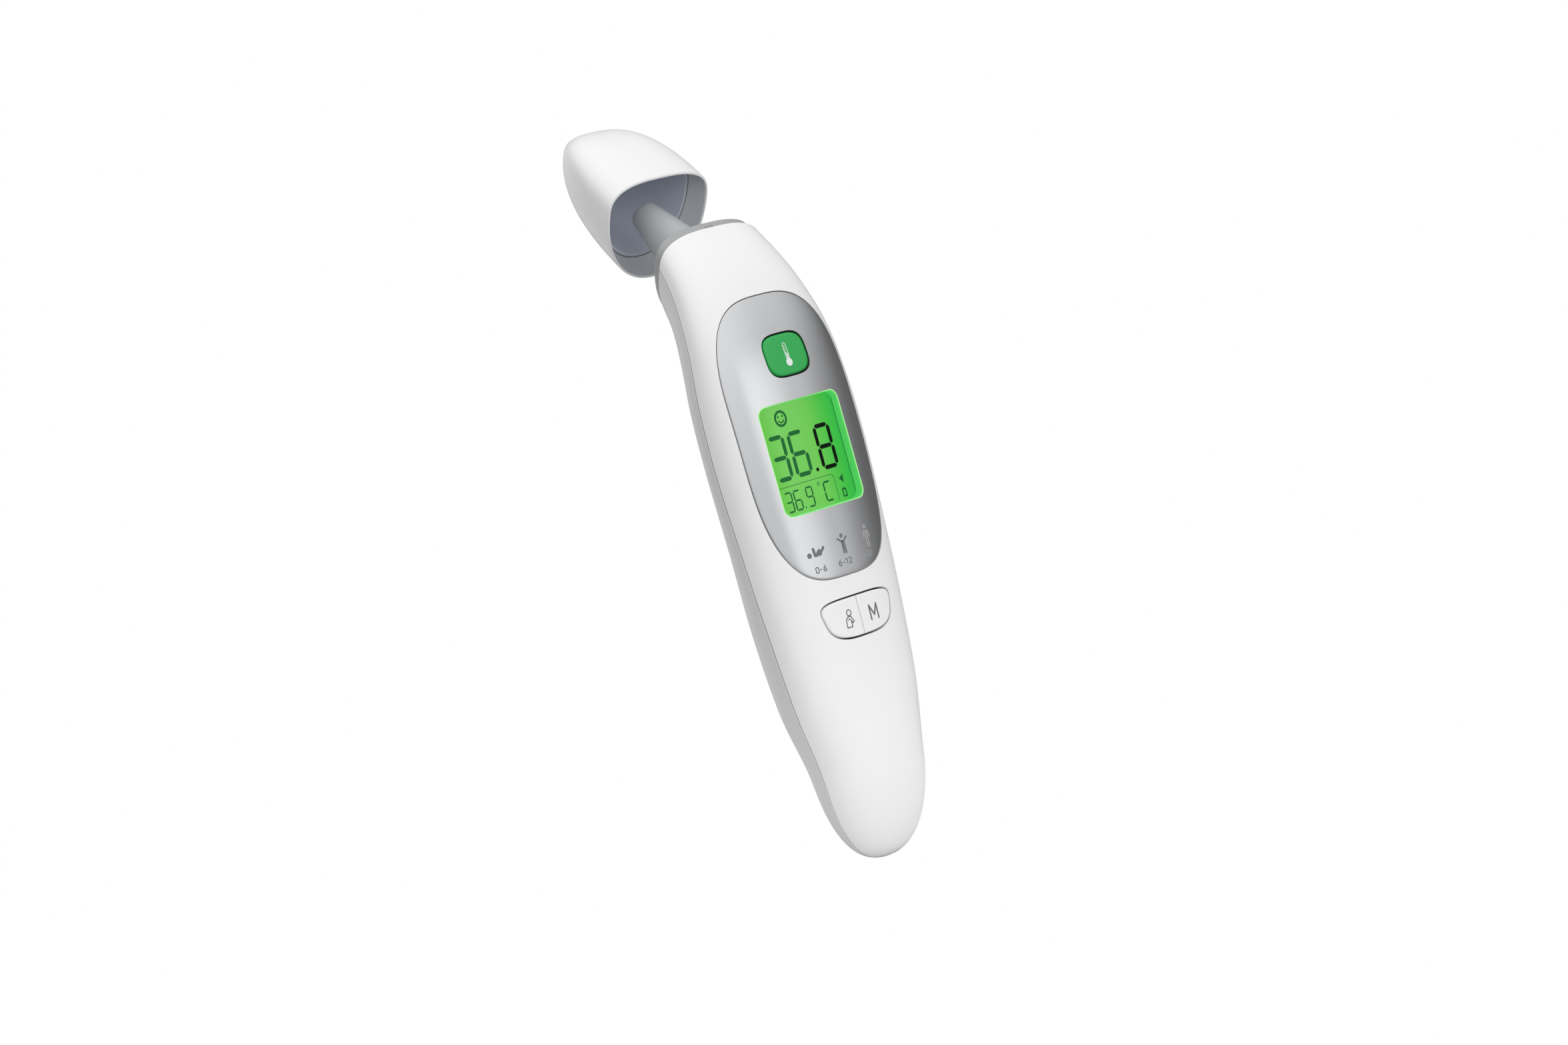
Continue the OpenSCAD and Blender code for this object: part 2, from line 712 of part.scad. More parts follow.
// A conical spring wound from a wide foot up to a narrow tip
module coil(height) {
    n = spring_turns * spring_steps;
    rings = [for (i = [0 : n]) let (
            a = 360 * i / spring_steps, r = 3.6 - 1.8 * i / n, z = wire_r + (height - 2 * wire_r) * i / n
        ) [for (k = [0 : spring_sides - 1]) let (b = 360 * k / spring_sides)
            [(r + wire_r * cos(b)) * cos(a), (r + wire_r * cos(b)) * sin(a), z + wire_r * sin(b)]]];
    m = spring_sides;
    polyhedron(points = grid_points(rings), faces = concat(
        [for (i = [0 : n - 1]) for (k = [0 : m - 1]) let (
                a = i * m + k, b = i * m + (k + 1) % m
            ) each [[a, b, b + m], [a, b + m, a + m]]],
        [for (k = [1 : m - 2]) [0, k + 1, k]],
        [for (k = [1 : m - 2]) [n * m, n * m + k, n * m + k + 1]]));
}

bay_z0 = tray_z0 + tray_wall;
bay_z1 = tray_z1 - tray_wall;
foot = bay_z0 + contact_t;
roof = bay_z1 - contact_t;

module battery_springs() {
    color("silver") placed() {
        translate([-cell_x, cell_y, foot]) coil(cell_z - foot);
        translate([cell_x, cell_y, roof]) mirror([0, 0, 1]) coil(roof - cell_z - cell_len);
    }
}

// Two plates at the foot of the bay and one across its roof, with a pressed cup for each terminal
module battery_contacts() {
    plate_y0 = cell_y - 5;
    plate_y1 = cell_y + 2.5;
    color("silver") placed() {
        for (side = [-1, 1]) block(8, plate_y0, plate_y1, bay_z0, foot, side * cell_x);
        block(2 * cell_x + 8, plate_y0, plate_y1, roof, bay_z1);
        translate([cell_x, cell_y, foot - tiny]) cylinder(r1 = 2.6, r2 = 1.7, h = cell_z - foot + tiny);
        translate([-cell_x, cell_y, cell_z + cell_len])
            cylinder(r1 = 1.7, r2 = 2.6, h = roof - cell_z - cell_len + tiny);
    }
}

lead_r = 0.4;

// Two insulated wires from the foot of the bay up in front of it to the lower edge of the board
module battery_leads() {
    front_y = tray_front_y - 0.9;
    low_z = tray_z0 - lead_r - 0.05;
    color("firebrick") placed() for (side = [-1, 1]) translate([side * 4, 0, 0]) {
        translate([0, front_y, low_z]) rotate([-90, 0, 0]) cylinder(r = lead_r, h = 5.5);
        translate([0, front_y, low_z]) sphere(lead_r);
        translate([0, front_y, low_z]) cylinder(r = lead_r, h = board_z0 - low_z - 0.02);
    }
}

module battery_cover() {
    mid_z = (cover_z0 + cover_z1) / 2;
    color("lightgray") placed() difference() {
        union() {
            intersection() {
                front_prism(4, far) translate([0, mid_z])
                    square([cover_w, cover_z1 - cover_z0], center = true);
                wall_layer(1, 4.7, 20, 160, 0, 1.6);
            }
            for (side = [-1, 1]) intersection() {
                block(0.9, 4.2, far, cover_z0 + 8, cover_z1 - 8, side * (cover_w / 2 - 0.45));
                wall_layer(1, 4.7, 20, 160, 0.5, 4.4);
            }
        }
        for (k = [0 : 3]) intersection() {
            block(10 - 1.6 * k, 4, far, cover_z1 - 5.5 - 2 * k, cover_z1 - 4.7 - 2 * k);
            wall_layer(1, 4.7, 60, 120, -1, 0.5);
        }
    }
}

module case_screws() {
    color("silver") placed() for (p = screw_places) {
        front_prism(-4.8, screw_head_y + tiny) translate(p) circle(screw_r);
        difference() {
            front_prism(screw_head_y, screw_head_y + 1.4) translate(p) circle(1.85);
            for (turn = [0, 90]) front_prism(screw_head_y + 0.7, screw_head_y + 3)
                translate(p) rotate(turn) square([2.2, 0.5], center = true);
        }
    }
}

front_shell();
rear_shell();
display_panel();
display_lens();
lcd_glass();
lcd_backlight();
lcd_frame();
zebra_strip();
main_board();
board_chips();
buzzer();
scan_button();
scan_stem();
scan_switch();
age_key();
age_stem();
age_switch();
memory_key();
memory_stem();
memory_switch();
probe_collar();
probe_cone();
probe_window();
wave_tube();
sensor_can();
sensor_sleeve();
sensor_board();
sensor_ribbon();
cap_plunger();
cap_switch();
cap_shell();
cap_liner();
battery_tray();
battery_left();
battery_right();
battery_springs();
battery_contacts();
battery_leads();
battery_cover();
case_screws();
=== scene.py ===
"""Looks of the digital ear thermometer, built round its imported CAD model.

Lengths in the helpers are in millimetres in the casing's own frame: y = 0 at the seam between the two shells,
z = 0 just above the tail's end. place() turns them into metres in the row frame.
"""

import math

import bmesh
import bpy
import numpy as np
from mathutils import Matrix, Vector


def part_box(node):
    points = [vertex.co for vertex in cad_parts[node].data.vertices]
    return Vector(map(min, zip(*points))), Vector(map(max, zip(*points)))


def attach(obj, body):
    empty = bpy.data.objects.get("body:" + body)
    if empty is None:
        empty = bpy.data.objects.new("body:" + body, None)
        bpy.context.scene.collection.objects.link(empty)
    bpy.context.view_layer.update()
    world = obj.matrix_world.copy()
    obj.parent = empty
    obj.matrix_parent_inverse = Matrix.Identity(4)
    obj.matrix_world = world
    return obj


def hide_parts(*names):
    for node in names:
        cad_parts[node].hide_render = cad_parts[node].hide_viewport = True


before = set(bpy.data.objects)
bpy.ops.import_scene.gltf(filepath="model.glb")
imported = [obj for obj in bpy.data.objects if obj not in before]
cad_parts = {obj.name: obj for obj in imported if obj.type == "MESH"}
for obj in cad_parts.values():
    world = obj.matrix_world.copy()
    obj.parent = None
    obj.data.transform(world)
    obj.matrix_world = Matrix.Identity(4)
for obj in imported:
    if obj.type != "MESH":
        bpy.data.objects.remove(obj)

# ---- Sizes shared with the CAD part --------------------------------------------------------------

# Front y and z, rear y and z, half width, the seam's share of the depth, roundness in front and behind
STATIONS = np.array([
    [-5.9, -1.4, 10.7, -1.4, 11.9, 0.494, 2.25, 2.2],
    [-8.3, 18, 10.6, 18, 13.6, 0.461, 2.4, 2.2],
    [-9.1, 34, 13.2, 34, 16.6, 0.41, 2.6, 2.2],
    [-9.6, 52, 13.4, 52, 18.4, 0.417, 2.7, 2.2],
    [-9.7, 70, 11.4, 70, 19.7, 0.459, 2.7, 2.2],
    [-9.6, 88, 10.4, 87, 20.6, 0.479, 2.7, 2.2],
    [-9.1, 102.7, 10.5, 99, 20.3, 0.462, 2.7, 2.2],
    [-7.7, 114, 10.8, 106.5, 19.1, 0.422, 2.75, 2.2],
    [-4.7, 123.8, 11.6, 111.2, 17.5, 0.379, 2.75, 2.2],
    [-1.2, 131, 13, 114.6, 16, 0.337, 2.8, 2.15],
    [3.3, 138, 14.8, 117.8, 14.6, 0.3, 2.8, 2.1],
])
LAST = len(STATIONS) - 1
TAIL_LENGTH = 19.4
TAIL_ROUNDNESS = 2.3
WALL = 1.8
# The battery tray's lowest corner, as y and z, fixes the casing's frame in the row frame
TRAY_CORNER = (-2.7, 24)
ORIGIN_Y = TRAY_CORNER[0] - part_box("battery_tray")[0].y * 1000
ORIGIN_Z = TRAY_CORNER[1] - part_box("battery_tray")[0].z * 1000
SPLIT_Z, PANEL_TOP_Z, PANEL_BOTTOM_Z, PANEL_W, PANEL_X = 95, 121.2, 59.3, 34.6, -0.4
WINDOW_Z, WINDOW_W, WINDOW_H, WINDOW_X = 86, 23.4, 24, -0.6
SCAN_Z, SCAN_W, SCAN_H = 107.6, 11.6, 9
KEYS_Z, KEYS_W, KEYS_H = 50.4, 19, 8.4
KEY_FOOT_Y = -5.85
GAP = 0.25
PROUD = 0.2
LCD_Y = -6.9
COVER_W, COVER_T, COVER_Z0, COVER_Z1 = 23.4, 1.6, 22, 76
COVER_MID = (COVER_Z0 + COVER_Z1) / 2
RIB_T, RIB_DEPTH, RIB_END = 0.9, 2.6, 8
LAND_W, LAND_H, LAND_Y, LAND_Z = 18, 14, 9.4, 87
SCREWS, SCREW_R = ((0, 14), (-14.2, 104), (14.2, 104)), 2
FAR = 40
FRONT_CUT = (-20, -2)
LEAN = math.radians(40)
PROBE = np.array([0, math.sin(LEAN), math.cos(LEAN)])
CAP_LEN, CAP_WALL, CAP_OPEN, CAP_ROUNDNESS = 26.8, 1.4, 17.6, 2.4
LIP_INSET, LIP_HEIGHT = 0.75, 2.4
LINER_START, LINER_T, LINER_GAP = 5, 0.8, 0.1
COLLAR_HOLE_R, PLUNGER_HOLE_R, PLUNGER_X, PLUNGER_ALONG = 7.3, 0.88, -9.6, 7.2


def place(points):
    """Casing frame in millimetres to the row frame in metres."""
    return (np.asarray(points, float) - [0, ORIGIN_Y, ORIGIN_Z]) / 1000


# ---- The casing's surface ------------------------------------------------------------------------


def section(s):
    """The row of STATIONS at any place s along the casing, by Catmull-Rom curves."""
    s = np.asarray(s, float)
    i = np.clip(np.floor(s).astype(int), 0, LAST - 1)
    b, c = STATIONS[i], STATIONS[i + 1]
    a = np.where((i > 0)[..., None], STATIONS[np.maximum(i - 1, 0)], 2 * b - c)
    d = np.where((i < LAST - 1)[..., None], STATIONS[np.minimum(i + 2, LAST)], 2 * c - b)
    t = (s - i)[..., None]
    return 0.5 * (2 * b + (c - a) * t + (2 * a - 5 * b + 4 * c - d) * t * t + (3 * b - a - 3 * c + d) * t**3)


def signed_pow(v, e):
    return np.sign(v) * np.abs(v) ** e


def casing(s, ang, inset):
    """Points of the casing's surface, sunk by inset. ang is 180 at the left seam, 270 at the front."""
    s, ang, inset = np.broadcast_arrays(*(np.asarray(v, float) for v in (s, ang, inset)))
    st = section(s)
    start = inset / TAIL_LENGTH
    q = (s - start) / (1 - start)
    share = np.maximum(0, 1 - np.maximum(0, 1 - q) ** TAIL_ROUNDNESS) ** (1 / TAIL_ROUNDNESS)
    front, rear = st[..., 0:2], st[..., 2:4]
    depth = np.linalg.norm(rear - front, axis=-1)
    way = (rear - front) / depth[..., None]
    seam = front + way * (depth * st[..., 5])[..., None]
    c, n = np.cos(np.radians(ang)), np.sin(np.radians(ang))
    ahead = n < 0
    reach = np.where(ahead, st[..., 5], 1 - st[..., 5]) * depth
    e = 2 / np.where(ahead, st[..., 6], st[..., 7])
    x = signed_pow(c, e) * (st[..., 4] - inset) * share
    v = signed_pow(n, e) * (reach - inset) * share
    return np.stack([x, seam[..., 0] + way[..., 0] * v, seam[..., 1] + way[..., 1] * v], -1)


def surface_y(x, z, inset=0.0, rear=False):
    """The y of the casing's front (or rear) surface above given x and z."""
    shape = np.broadcast(x, z, inset).shape
    x, z, inset = (np.broadcast_to(np.asarray(v, float), shape).ravel() for v in (x, z, inset))
    side = 1.0 if rear else -1.0
    s = np.interp(z, STATIONS[:, 3 if rear else 1], np.arange(LAST + 1))
    lean = np.degrees(np.arcsin(np.clip(signed_pow(x / section(s)[:, 4], 1.15), -0.98, 0.98)))
    a = 90 - lean if rear else 270 + lean
    low, high = (1, 179) if rear else (181, 359)
    for _ in range(14):
        p = casing(s, a, inset)
        ps = (casing(s + 1e-4, a, inset) - p) / 1e-4
        pa = (casing(s, a + 0.01 * side, inset) - p) / (0.01 * side)
        rx, rz = x - p[:, 0], z - p[:, 2]
        det = ps[:, 0] * pa[:, 2] - ps[:, 2] * pa[:, 0]
        s = np.clip(s + np.clip((rx * pa[:, 2] - rz * pa[:, 0]) / det, -0.5, 0.5), 0.4, LAST - 0.01)
        a = np.clip(a + np.clip((ps[:, 0] * rz - ps[:, 2] * rx) / det, -8, 8), low, high)
    return casing(s, a, inset)[:, 1].reshape(shape)


# ---- Outlines in the front view ------------------------------------------------------------------


def superellipse(n, w, h_up, h_down, n_up, n_down, cz, grow, taper=0.0):
    """An outline with its own height and roundness above and below cz, wider towards the top by taper."""
    a = np.linspace(0, 2 * math.pi, n, endpoint=False)
    c, s = np.cos(a), np.sin(a)
    e = 2 / np.where(s > 0, n_up, n_down)
    up = signed_pow(s, e)
    reach = np.where(s > 0, h_up, h_down)
    return np.stack([signed_pow(c, e) * (w / 2 * (1 + taper * up) + grow), cz + up * (reach + grow)], -1)


def panel_outline(grow=0.0, n=360):
    line = superellipse(n, PANEL_W, PANEL_TOP_Z - SPLIT_Z, SPLIT_Z - PANEL_BOTTOM_Z, 3, 3.4, SPLIT_Z, grow)
    return line + [PANEL_X, 0]


def scan_outline(grow=0.0, n=160):
    return superellipse(n, SCAN_W, SCAN_H / 2, SCAN_H / 2, 3.4, 3.4, SCAN_Z, grow)


def keys_outline(grow=0.0, n=200):
    return superellipse(n, KEYS_W, KEYS_H / 2, KEYS_H / 2, 4.5, 3, KEYS_Z, grow, 0.12)


def round_rect(w, h, r, cx, cz, steps=12):
    pts = []
    for qx, qz, a0 in ((1, 1, 0), (-1, 1, 90), (-1, -1, 180), (1, -1, 270)):
        for k in range(steps + 1):
            a = math.radians(a0 + 90 * k / steps)
            pts.append((cx + qx * (w / 2 - r) + r * math.cos(a), cz + qz * (h / 2 - r) + r * math.sin(a)))
    return np.array(pts)


def fine(outline, step=0.6):
    """The same outline with points no further apart than step."""
    pts = []
    for a, b in zip(outline, np.roll(outline, -1, 0)):
        n = max(1, math.ceil(np.linalg.norm(b - a) / step))
        pts += [a + (b - a) * k / n for k in range(n)]
    return np.array(pts)


def window_outline(grow=0.0):
    return round_rect(WINDOW_W + 2 * grow, WINDOW_H + 2 * grow, 2.2 + grow, WINDOW_X, WINDOW_Z)


def clip_side(outline, side, at):
    """The part of an outline on one side of x = at, as a closed outline."""
    out = []
    n = len(outline)
    for i in range(n):
        p, q = outline[i], outline[(i + 1) % n]
        inside_p, inside_q = (p[0] - at) * side >= 0, (q[0] - at) * side >= 0
        if inside_p:
            out.append(p)
        if inside_p != inside_q:
            t = (at - p[0]) / (q[0] - p[0])
            out.append(p + (q - p) * t)
    return np.array(out)


# ---- Meshes --------------------------------------------------------------------------------------


def mesh_object(name, verts, faces, body, material, slot=None, smooth=35):
    """A new piece from casing-frame points. It rides body. slot is not used."""
    me = bpy.data.meshes.new(name)
    me.from_pydata([tuple(v) for v in place(verts)], [], [tuple(int(i) for i in f) for f in faces])
    me.validate()
    ob = bpy.data.objects.new(name, me)
    bpy.context.scene.collection.objects.link(ob)
    bm = bmesh.new()
    bm.from_mesh(me)
    bmesh.ops.recalc_face_normals(bm, faces=bm.faces)
    bm.to_mesh(me)
    bm.free()
    me.materials.append(material)
    shade(ob, smooth)
    if body:
        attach(ob, body)
    return ob


def shade(ob, degrees):
    """Smooth shading, with edges sharper than degrees kept crisp."""
    me = ob.data
    me.polygons.foreach_set("use_smooth", [True] * len(me.polygons))
    me.set_sharp_from_angle(angle=math.radians(degrees))
    me.update()


def grid_faces(rows, cols, base, closed=False):
    """Quads over a grid of points that starts at index base. closed joins the last column to the first."""
    faces = []
    for r in range(rows - 1):
        for c in range(cols if closed else cols - 1):
            a, b = base + r * cols + c, base + r * cols + (c + 1) % cols
            faces.append((a, b, b + cols, a + cols))
    return faces


def shell_mesh(outer, inner, closed=False, poles=None):
    """A thick skin between two equal grids. poles closes the first row of each grid in a point."""
    rows, cols = outer.shape[:2]
    n = rows * cols
    verts = np.concatenate([outer.reshape(-1, 3), inner.reshape(-1, 3)])
    faces = grid_faces(rows, cols, 0, closed) + [f[::-1] for f in grid_faces(rows, cols, n, closed)]
    last = (rows - 1) * cols
    span = cols if closed else cols - 1
    for c in range(span):
        d = (c + 1) % cols
        faces.append((last + c, last + d, n + last + d, n + last + c))
        if poles is None:
            faces.append((d, c, n + c, n + d))
    if poles is not None:
        verts = np.concatenate([verts, np.array(poles, float).reshape(2, 3)])
        for c in range(span):
            d = (c + 1) % cols
            faces += [(2 * n, d, c), (2 * n + 1, n + c, n + d)]
    if not closed:
        for r in range(rows - 1):
            a, b = r * cols, (r + 1) * cols
            faces += [(a, b, n + b, n + a), (b + cols - 1, a + cols - 1, n + a + cols - 1, n + b + cols - 1)]
        if poles is not None:
            faces += [(2 * n, 0, n), (2 * n, n, 2 * n + 1)]
            faces += [(2 * n, n + cols - 1, cols - 1), (2 * n, 2 * n + 1, n + cols - 1)]
    return verts, faces


def pad_mesh(outline, top, bottom, edge=0.0, rear=False, under=0):
    """A pad over a star-shaped outline, between a surface sunk by top and the level bottom(x, z).
    edge rounds its rim by that radius, and under rings shape its underside."""
    outline = fine(outline)
    centre = (outline.min(0) + outline.max(0)) / 2
    out = outline - centre
    size = np.linalg.norm(out, axis=1).min()
    drops = [0.0]
    scales = [1.0]
    if edge:
        turn = np.radians(np.linspace(0, 90, 7))
        drops = list(edge * (1 - np.sin(turn)))
        scales = [1 - edge * (1 - math.cos(t)) / size for t in turn]
    last = scales[-1]
    for f in np.linspace(last, 0, 26)[1:-1]:
        scales.append(f)
        drops.append(0.0)
    n = len(outline)
    rows = []
    for f, d in zip(scales, drops):
        x, z = (centre + out * f).T
        rows.append(np.stack([x, surface_y(x, z, top + d, rear), z], -1))
    rows.append(np.array([[centre[0], surface_y(centre[0], centre[1], top, rear), centre[1]]]))
    base = []
    for f in np.linspace(0, 1, under + 2)[1:]:
        x, z = (centre + out * f).T
        base.append(np.stack([x, bottom(x, z), z], -1))
    low = np.array([[centre[0], bottom(*centre), centre[1]]])
    verts = np.concatenate([*base, *rows, low])
    count = len(base) + len(scales)
    faces = grid_faces(count, n, 0, closed=True)
    ring, tip, foot = (count - 1) * n, count * n, count * n + 1
    for c in range(n):
        d = (c + 1) % n
        faces += [(ring + c, ring + d, tip), (d, c, foot)]
    return verts, faces


def cutter(outline, y0, y1):
    """A prism along y."""
    n = len(outline)
    x, z = outline.T
    verts = np.concatenate([np.stack([x, np.full(n, y0), z], -1), np.stack([x, np.full(n, y1), z], -1)])
    faces = [tuple(range(n)), tuple(range(2 * n - 1, n - 1, -1))]
    faces += [(c, (c + 1) % n, n + (c + 1) % n, n + c) for c in range(n)]
    return verts, faces


def cut(ob, *meshes, smooth=35):
    """Takes closed meshes away from ob."""
    for verts, faces in meshes:
        tool = mesh_object("tool", verts, faces, None, ob.data.materials[0])
        mod = ob.modifiers.new("cut", "BOOLEAN")
        mod.operation = "DIFFERENCE"
        mod.solver = "EXACT"
        mod.object = tool
        with bpy.context.temp_override(object=ob, active_object=ob, selected_objects=[ob]):
            bpy.ops.object.modifier_apply(modifier=mod.name)
        bpy.data.objects.remove(tool)
    shade(ob, smooth)


def level(y):
    """A flat underside for pad_mesh."""
    return lambda x, z: np.full(np.shape(x), float(y))


# ---- Materials -----------------------------------------------------------------------------------


def principled(name, colour, rough, metal=0.0, spec=0.5, emit=None, emit_strength=0.0):
    ma = bpy.data.materials.new(name)
    ma.use_nodes = True
    node = ma.node_tree.nodes["Principled BSDF"]
    node.inputs["Base Color"].default_value = (*colour, 1)
    node.inputs["Roughness"].default_value = rough
    node.inputs["Metallic"].default_value = metal
    node.inputs["Specular IOR Level"].default_value = spec
    if emit:
        node.inputs["Emission Color"].default_value = (*emit, 1)
        node.inputs["Emission Strength"].default_value = emit_strength
    return ma


def add_grain(ma):
    """A fine moulded grain."""
    nodes, links = ma.node_tree.nodes, ma.node_tree.links
    noise = nodes.new("ShaderNodeTexNoise")
    coords = nodes.new("ShaderNodeTexCoord")
    bump = nodes.new("ShaderNodeBump")
    noise.inputs["Scale"].default_value = 2500
    noise.inputs["Detail"].default_value = 3
    bump.inputs["Strength"].default_value = 0.15
    bump.inputs["Distance"].default_value = 0.00002
    links.new(coords.outputs["Object"], noise.inputs["Vector"])
    links.new(noise.outputs["Fac"], bump.inputs["Height"])
    links.new(bump.outputs["Normal"], nodes["Principled BSDF"].inputs["Normal"])
    return ma


WHITE = add_grain(principled("shell_white", (0.88, 0.88, 0.88), 0.38))
# The rear shell is the same white plastic as the front; its darker grey is painted shade.
REAR_WHITE_SHADED = add_grain(principled("shell_grey", (0.66, 0.665, 0.67), 0.42))
SILVER = principled("panel_silver", (0.55, 0.557, 0.568), 0.27, metal=0.95)
GREEN = principled("button_green", (0.015, 0.4, 0.075), 0.4)
KEY = principled("key_white", (0.87, 0.87, 0.87), 0.38)
COLLAR = principled("collar_grey", (0.36, 0.365, 0.37), 0.4)
CONE = principled("probe_grey", (0.46, 0.475, 0.485), 0.4)
CAP = add_grain(principled("cap_white", (0.87, 0.87, 0.87), 0.38))
LINER = principled("liner_bluegrey", (0.6, 0.64, 0.73), 0.5)
# Painted shade for the cap's white inner face near the rim
CAP_INNER_SHADE = principled("cap_inner_painted_shade", (0.56, 0.58, 0.61), 0.45)
LCD = principled("lcd_green", (0.02, 0.1, 0.01), 0.5, spec=0.1, emit=(0.24, 0.6, 0.16), emit_strength=1.0)
lcd_nodes, lcd_links = LCD.node_tree.nodes, LCD.node_tree.links
spot = lcd_nodes.new("ShaderNodeTexCoord")
axes = lcd_nodes.new("ShaderNodeSeparateXYZ")
across = lcd_nodes.new("ShaderNodeMapRange")
ramp = lcd_nodes.new("ShaderNodeValToRGB")
across.inputs["From Min"].default_value = -0.0115
across.inputs["From Max"].default_value = 0.0115
# The backlight is brightest left of the middle and fades to the right
stops = (
    (0.0, (0.13, 0.45, 0.06)),
    (0.2, (0.2, 0.52, 0.125)),
    (0.6, (0.17, 0.5, 0.105)),
    (0.85, (0.05, 0.43, 0.06)),
    (1.0, (0.02, 0.38, 0.065)),
)
while len(ramp.color_ramp.elements) < len(stops):
    ramp.color_ramp.elements.new(0.5)
for element, (at, colour) in zip(ramp.color_ramp.elements, stops):
    element.position = at
    element.color = (*colour, 1)
lcd_links.new(spot.outputs["Object"], axes.inputs["Vector"])
lcd_links.new(axes.outputs["X"], across.inputs["Value"])
lcd_links.new(across.outputs["Result"], ramp.inputs["Fac"])
lcd_links.new(ramp.outputs["Color"], lcd_nodes["Principled BSDF"].inputs["Emission Color"])
# Painted glow on the walls round the display and on the window's edge
WALL_GLOW = principled("lcd_wall_glow", (0.05, 0.3, 0.05), 0.4, spec=0.1, emit=(0.09, 0.55, 0.13), emit_strength=0.8)
WINDOW_EDGE_GLOW = principled("window_edge_glow", (0.3, 0.6, 0.25), 0.4, emit=(0.3, 0.7, 0.25), emit_strength=0.55)
DIGIT = principled(
    "lcd_digit", (0.005, 0.06, 0.015), 0.6, spec=0.1, emit=(0.012, 0.1, 0.03), emit_strength=0.8)
DIGIT_DARK = principled("lcd_digit_dark", (0.0, 0.003, 0.001), 0.6, spec=0.1)
PRINT = principled("print_grey", (0.16, 0.165, 0.17), 0.5)
PRINT_FAINT = principled("print_faint", (0.36, 0.37, 0.375), 0.4)
PRINT_WHITE = principled("print_white", (0.85, 0.9, 0.86), 0.5)
SEAM = principled("seam_grey", (0.25, 0.25, 0.25), 0.6)
# Near-black painted shade for the floors of the gaps
GAP_SHADE = principled("gap_painted_shade", (0.03, 0.03, 0.03), 0.6)
PLUNGER = principled("plunger_dark", (0.05, 0.05, 0.055), 0.5)


def clear(name, tint):
    """A tinted clear sheet with a faint gloss."""
    ma = bpy.data.materials.new(name)
    ma.use_nodes = True
    nodes, links = ma.node_tree.nodes, ma.node_tree.links
    nodes.remove(nodes["Principled BSDF"])
    through = nodes.new("ShaderNodeBsdfTransparent")
    gloss = nodes.new("ShaderNodeBsdfGlossy")
    mix = nodes.new("ShaderNodeMixShader")
    fresnel = nodes.new("ShaderNodeFresnel")
    through.inputs["Color"].default_value = (*tint, 1)
    gloss.inputs["Roughness"].default_value = 0.08
    fresnel.inputs["IOR"].default_value = 1.1
    links.new(fresnel.outputs["Fac"], mix.inputs["Fac"])
    links.new(through.outputs["BSDF"], mix.inputs[1])
    links.new(gloss.outputs["BSDF"], mix.inputs[2])
    links.new(mix.outputs["Shader"], nodes["Material Output"].inputs["Surface"])
    return ma


LENS = clear("lens_clear", (0.93, 1.0, 0.93))


def restyle(node, material):
    """Gives a CAD node that stays visible another material."""
    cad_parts[node].data.materials.clear()
    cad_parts[node].data.materials.append(material)


restyle("lcd_glass", LCD)
restyle("probe_cone", CONE)
restyle("cap_plunger", PLUNGER)
shade(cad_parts["probe_cone"], 35)

# ---- Shells --------------------------------------------------------------------------------------


def half_shell(name, a0, a1, material, slot):
    """One half of the casing, its seam and mouth edges slightly rounded."""
    tail = 1 - np.cos(np.radians(np.linspace(0, 90, 33)))[1:]
    body = np.linspace(1, LAST, 150)[1:]
    near = np.array([0, 0.15, 0.35, 0.6, 0.9, 1.3])
    angs = np.concatenate([a0 + near, np.linspace(a0 + 2, a1 - 2, 150), (a1 - near)[::-1]])
    edge = 0.3

    def rounding(distance):
        d = np.clip(distance / edge, 0, 1)
        return edge * (1 - np.sqrt(1 - (1 - d) ** 2))

    mm_per_degree, mm_per_station = 0.3, 7.5
    to_seam = np.minimum(angs - a0, a1 - angs) * mm_per_degree
    rows = np.concatenate([tail, body, LAST - np.array([0.03, 0.015, 0.006, 0])])
    rows = np.unique(np.round(rows, 6))
    to_mouth = (LAST - rows) * mm_per_station
    inset = np.maximum(rounding(to_seam)[None, :], rounding(to_mouth)[:, None])
    inset[rows < 1] *= np.clip(rows[rows < 1], 0, 1)[:, None]
    outer = casing(rows[:, None], angs[None, :], inset)
    start = WALL / TAIL_LENGTH
    inner_rows = np.where(rows < 1, start + (1 - start) * rows, rows)
    inner = casing(inner_rows[:, None], angs[None, :], WALL)

    def pole(inset):
        st = section(inset / TAIL_LENGTH)
        return [0, st[0] + (st[2] - st[0]) * st[5], st[1]]

    verts, faces = shell_mesh(outer, inner, poles=[pole(0), pole(WALL)])
    return mesh_object(name, verts, faces, "handle", material, slot)


front = half_shell("front_casing", 180, 360, WHITE, "shell_white")
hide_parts("front_shell")
panel_hole = pad_mesh(panel_outline(0.16), -1.5, lambda x, z: surface_y(x, z, 1.2))
window_hole = cutter(round_rect(WINDOW_W + 3.2, WINDOW_H + 3.2, 0.5, WINDOW_X, WINDOW_Z), *FRONT_CUT)
scan_hole, keys_hole = cutter(scan_outline(GAP), *FRONT_CUT), cutter(keys_outline(GAP + 0.1), *FRONT_CUT)
cut(front, panel_hole, window_hole, scan_hole, keys_hole)

# The rear shell takes the darker grey of painted shade
rear = half_shell("rear_casing", 0, 180, REAR_WHITE_SHADED, "shell_grey")
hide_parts("rear_shell")
cuts = [
    cutter(round_rect(COVER_W + 0.4, COVER_Z1 - COVER_Z0 + 0.4, 0.3, 0, COVER_MID), 4, FAR),
    cutter(round_rect(LAND_W, LAND_H, 0.3, 0, LAND_Z), LAND_Y, FAR),
]
for x, z in SCREWS:
    cuts.append(cutter(round_rect(2 * SCREW_R, 2 * SCREW_R, SCREW_R - 0.001, x, z), 3, FAR))
cut(rear, *cuts)

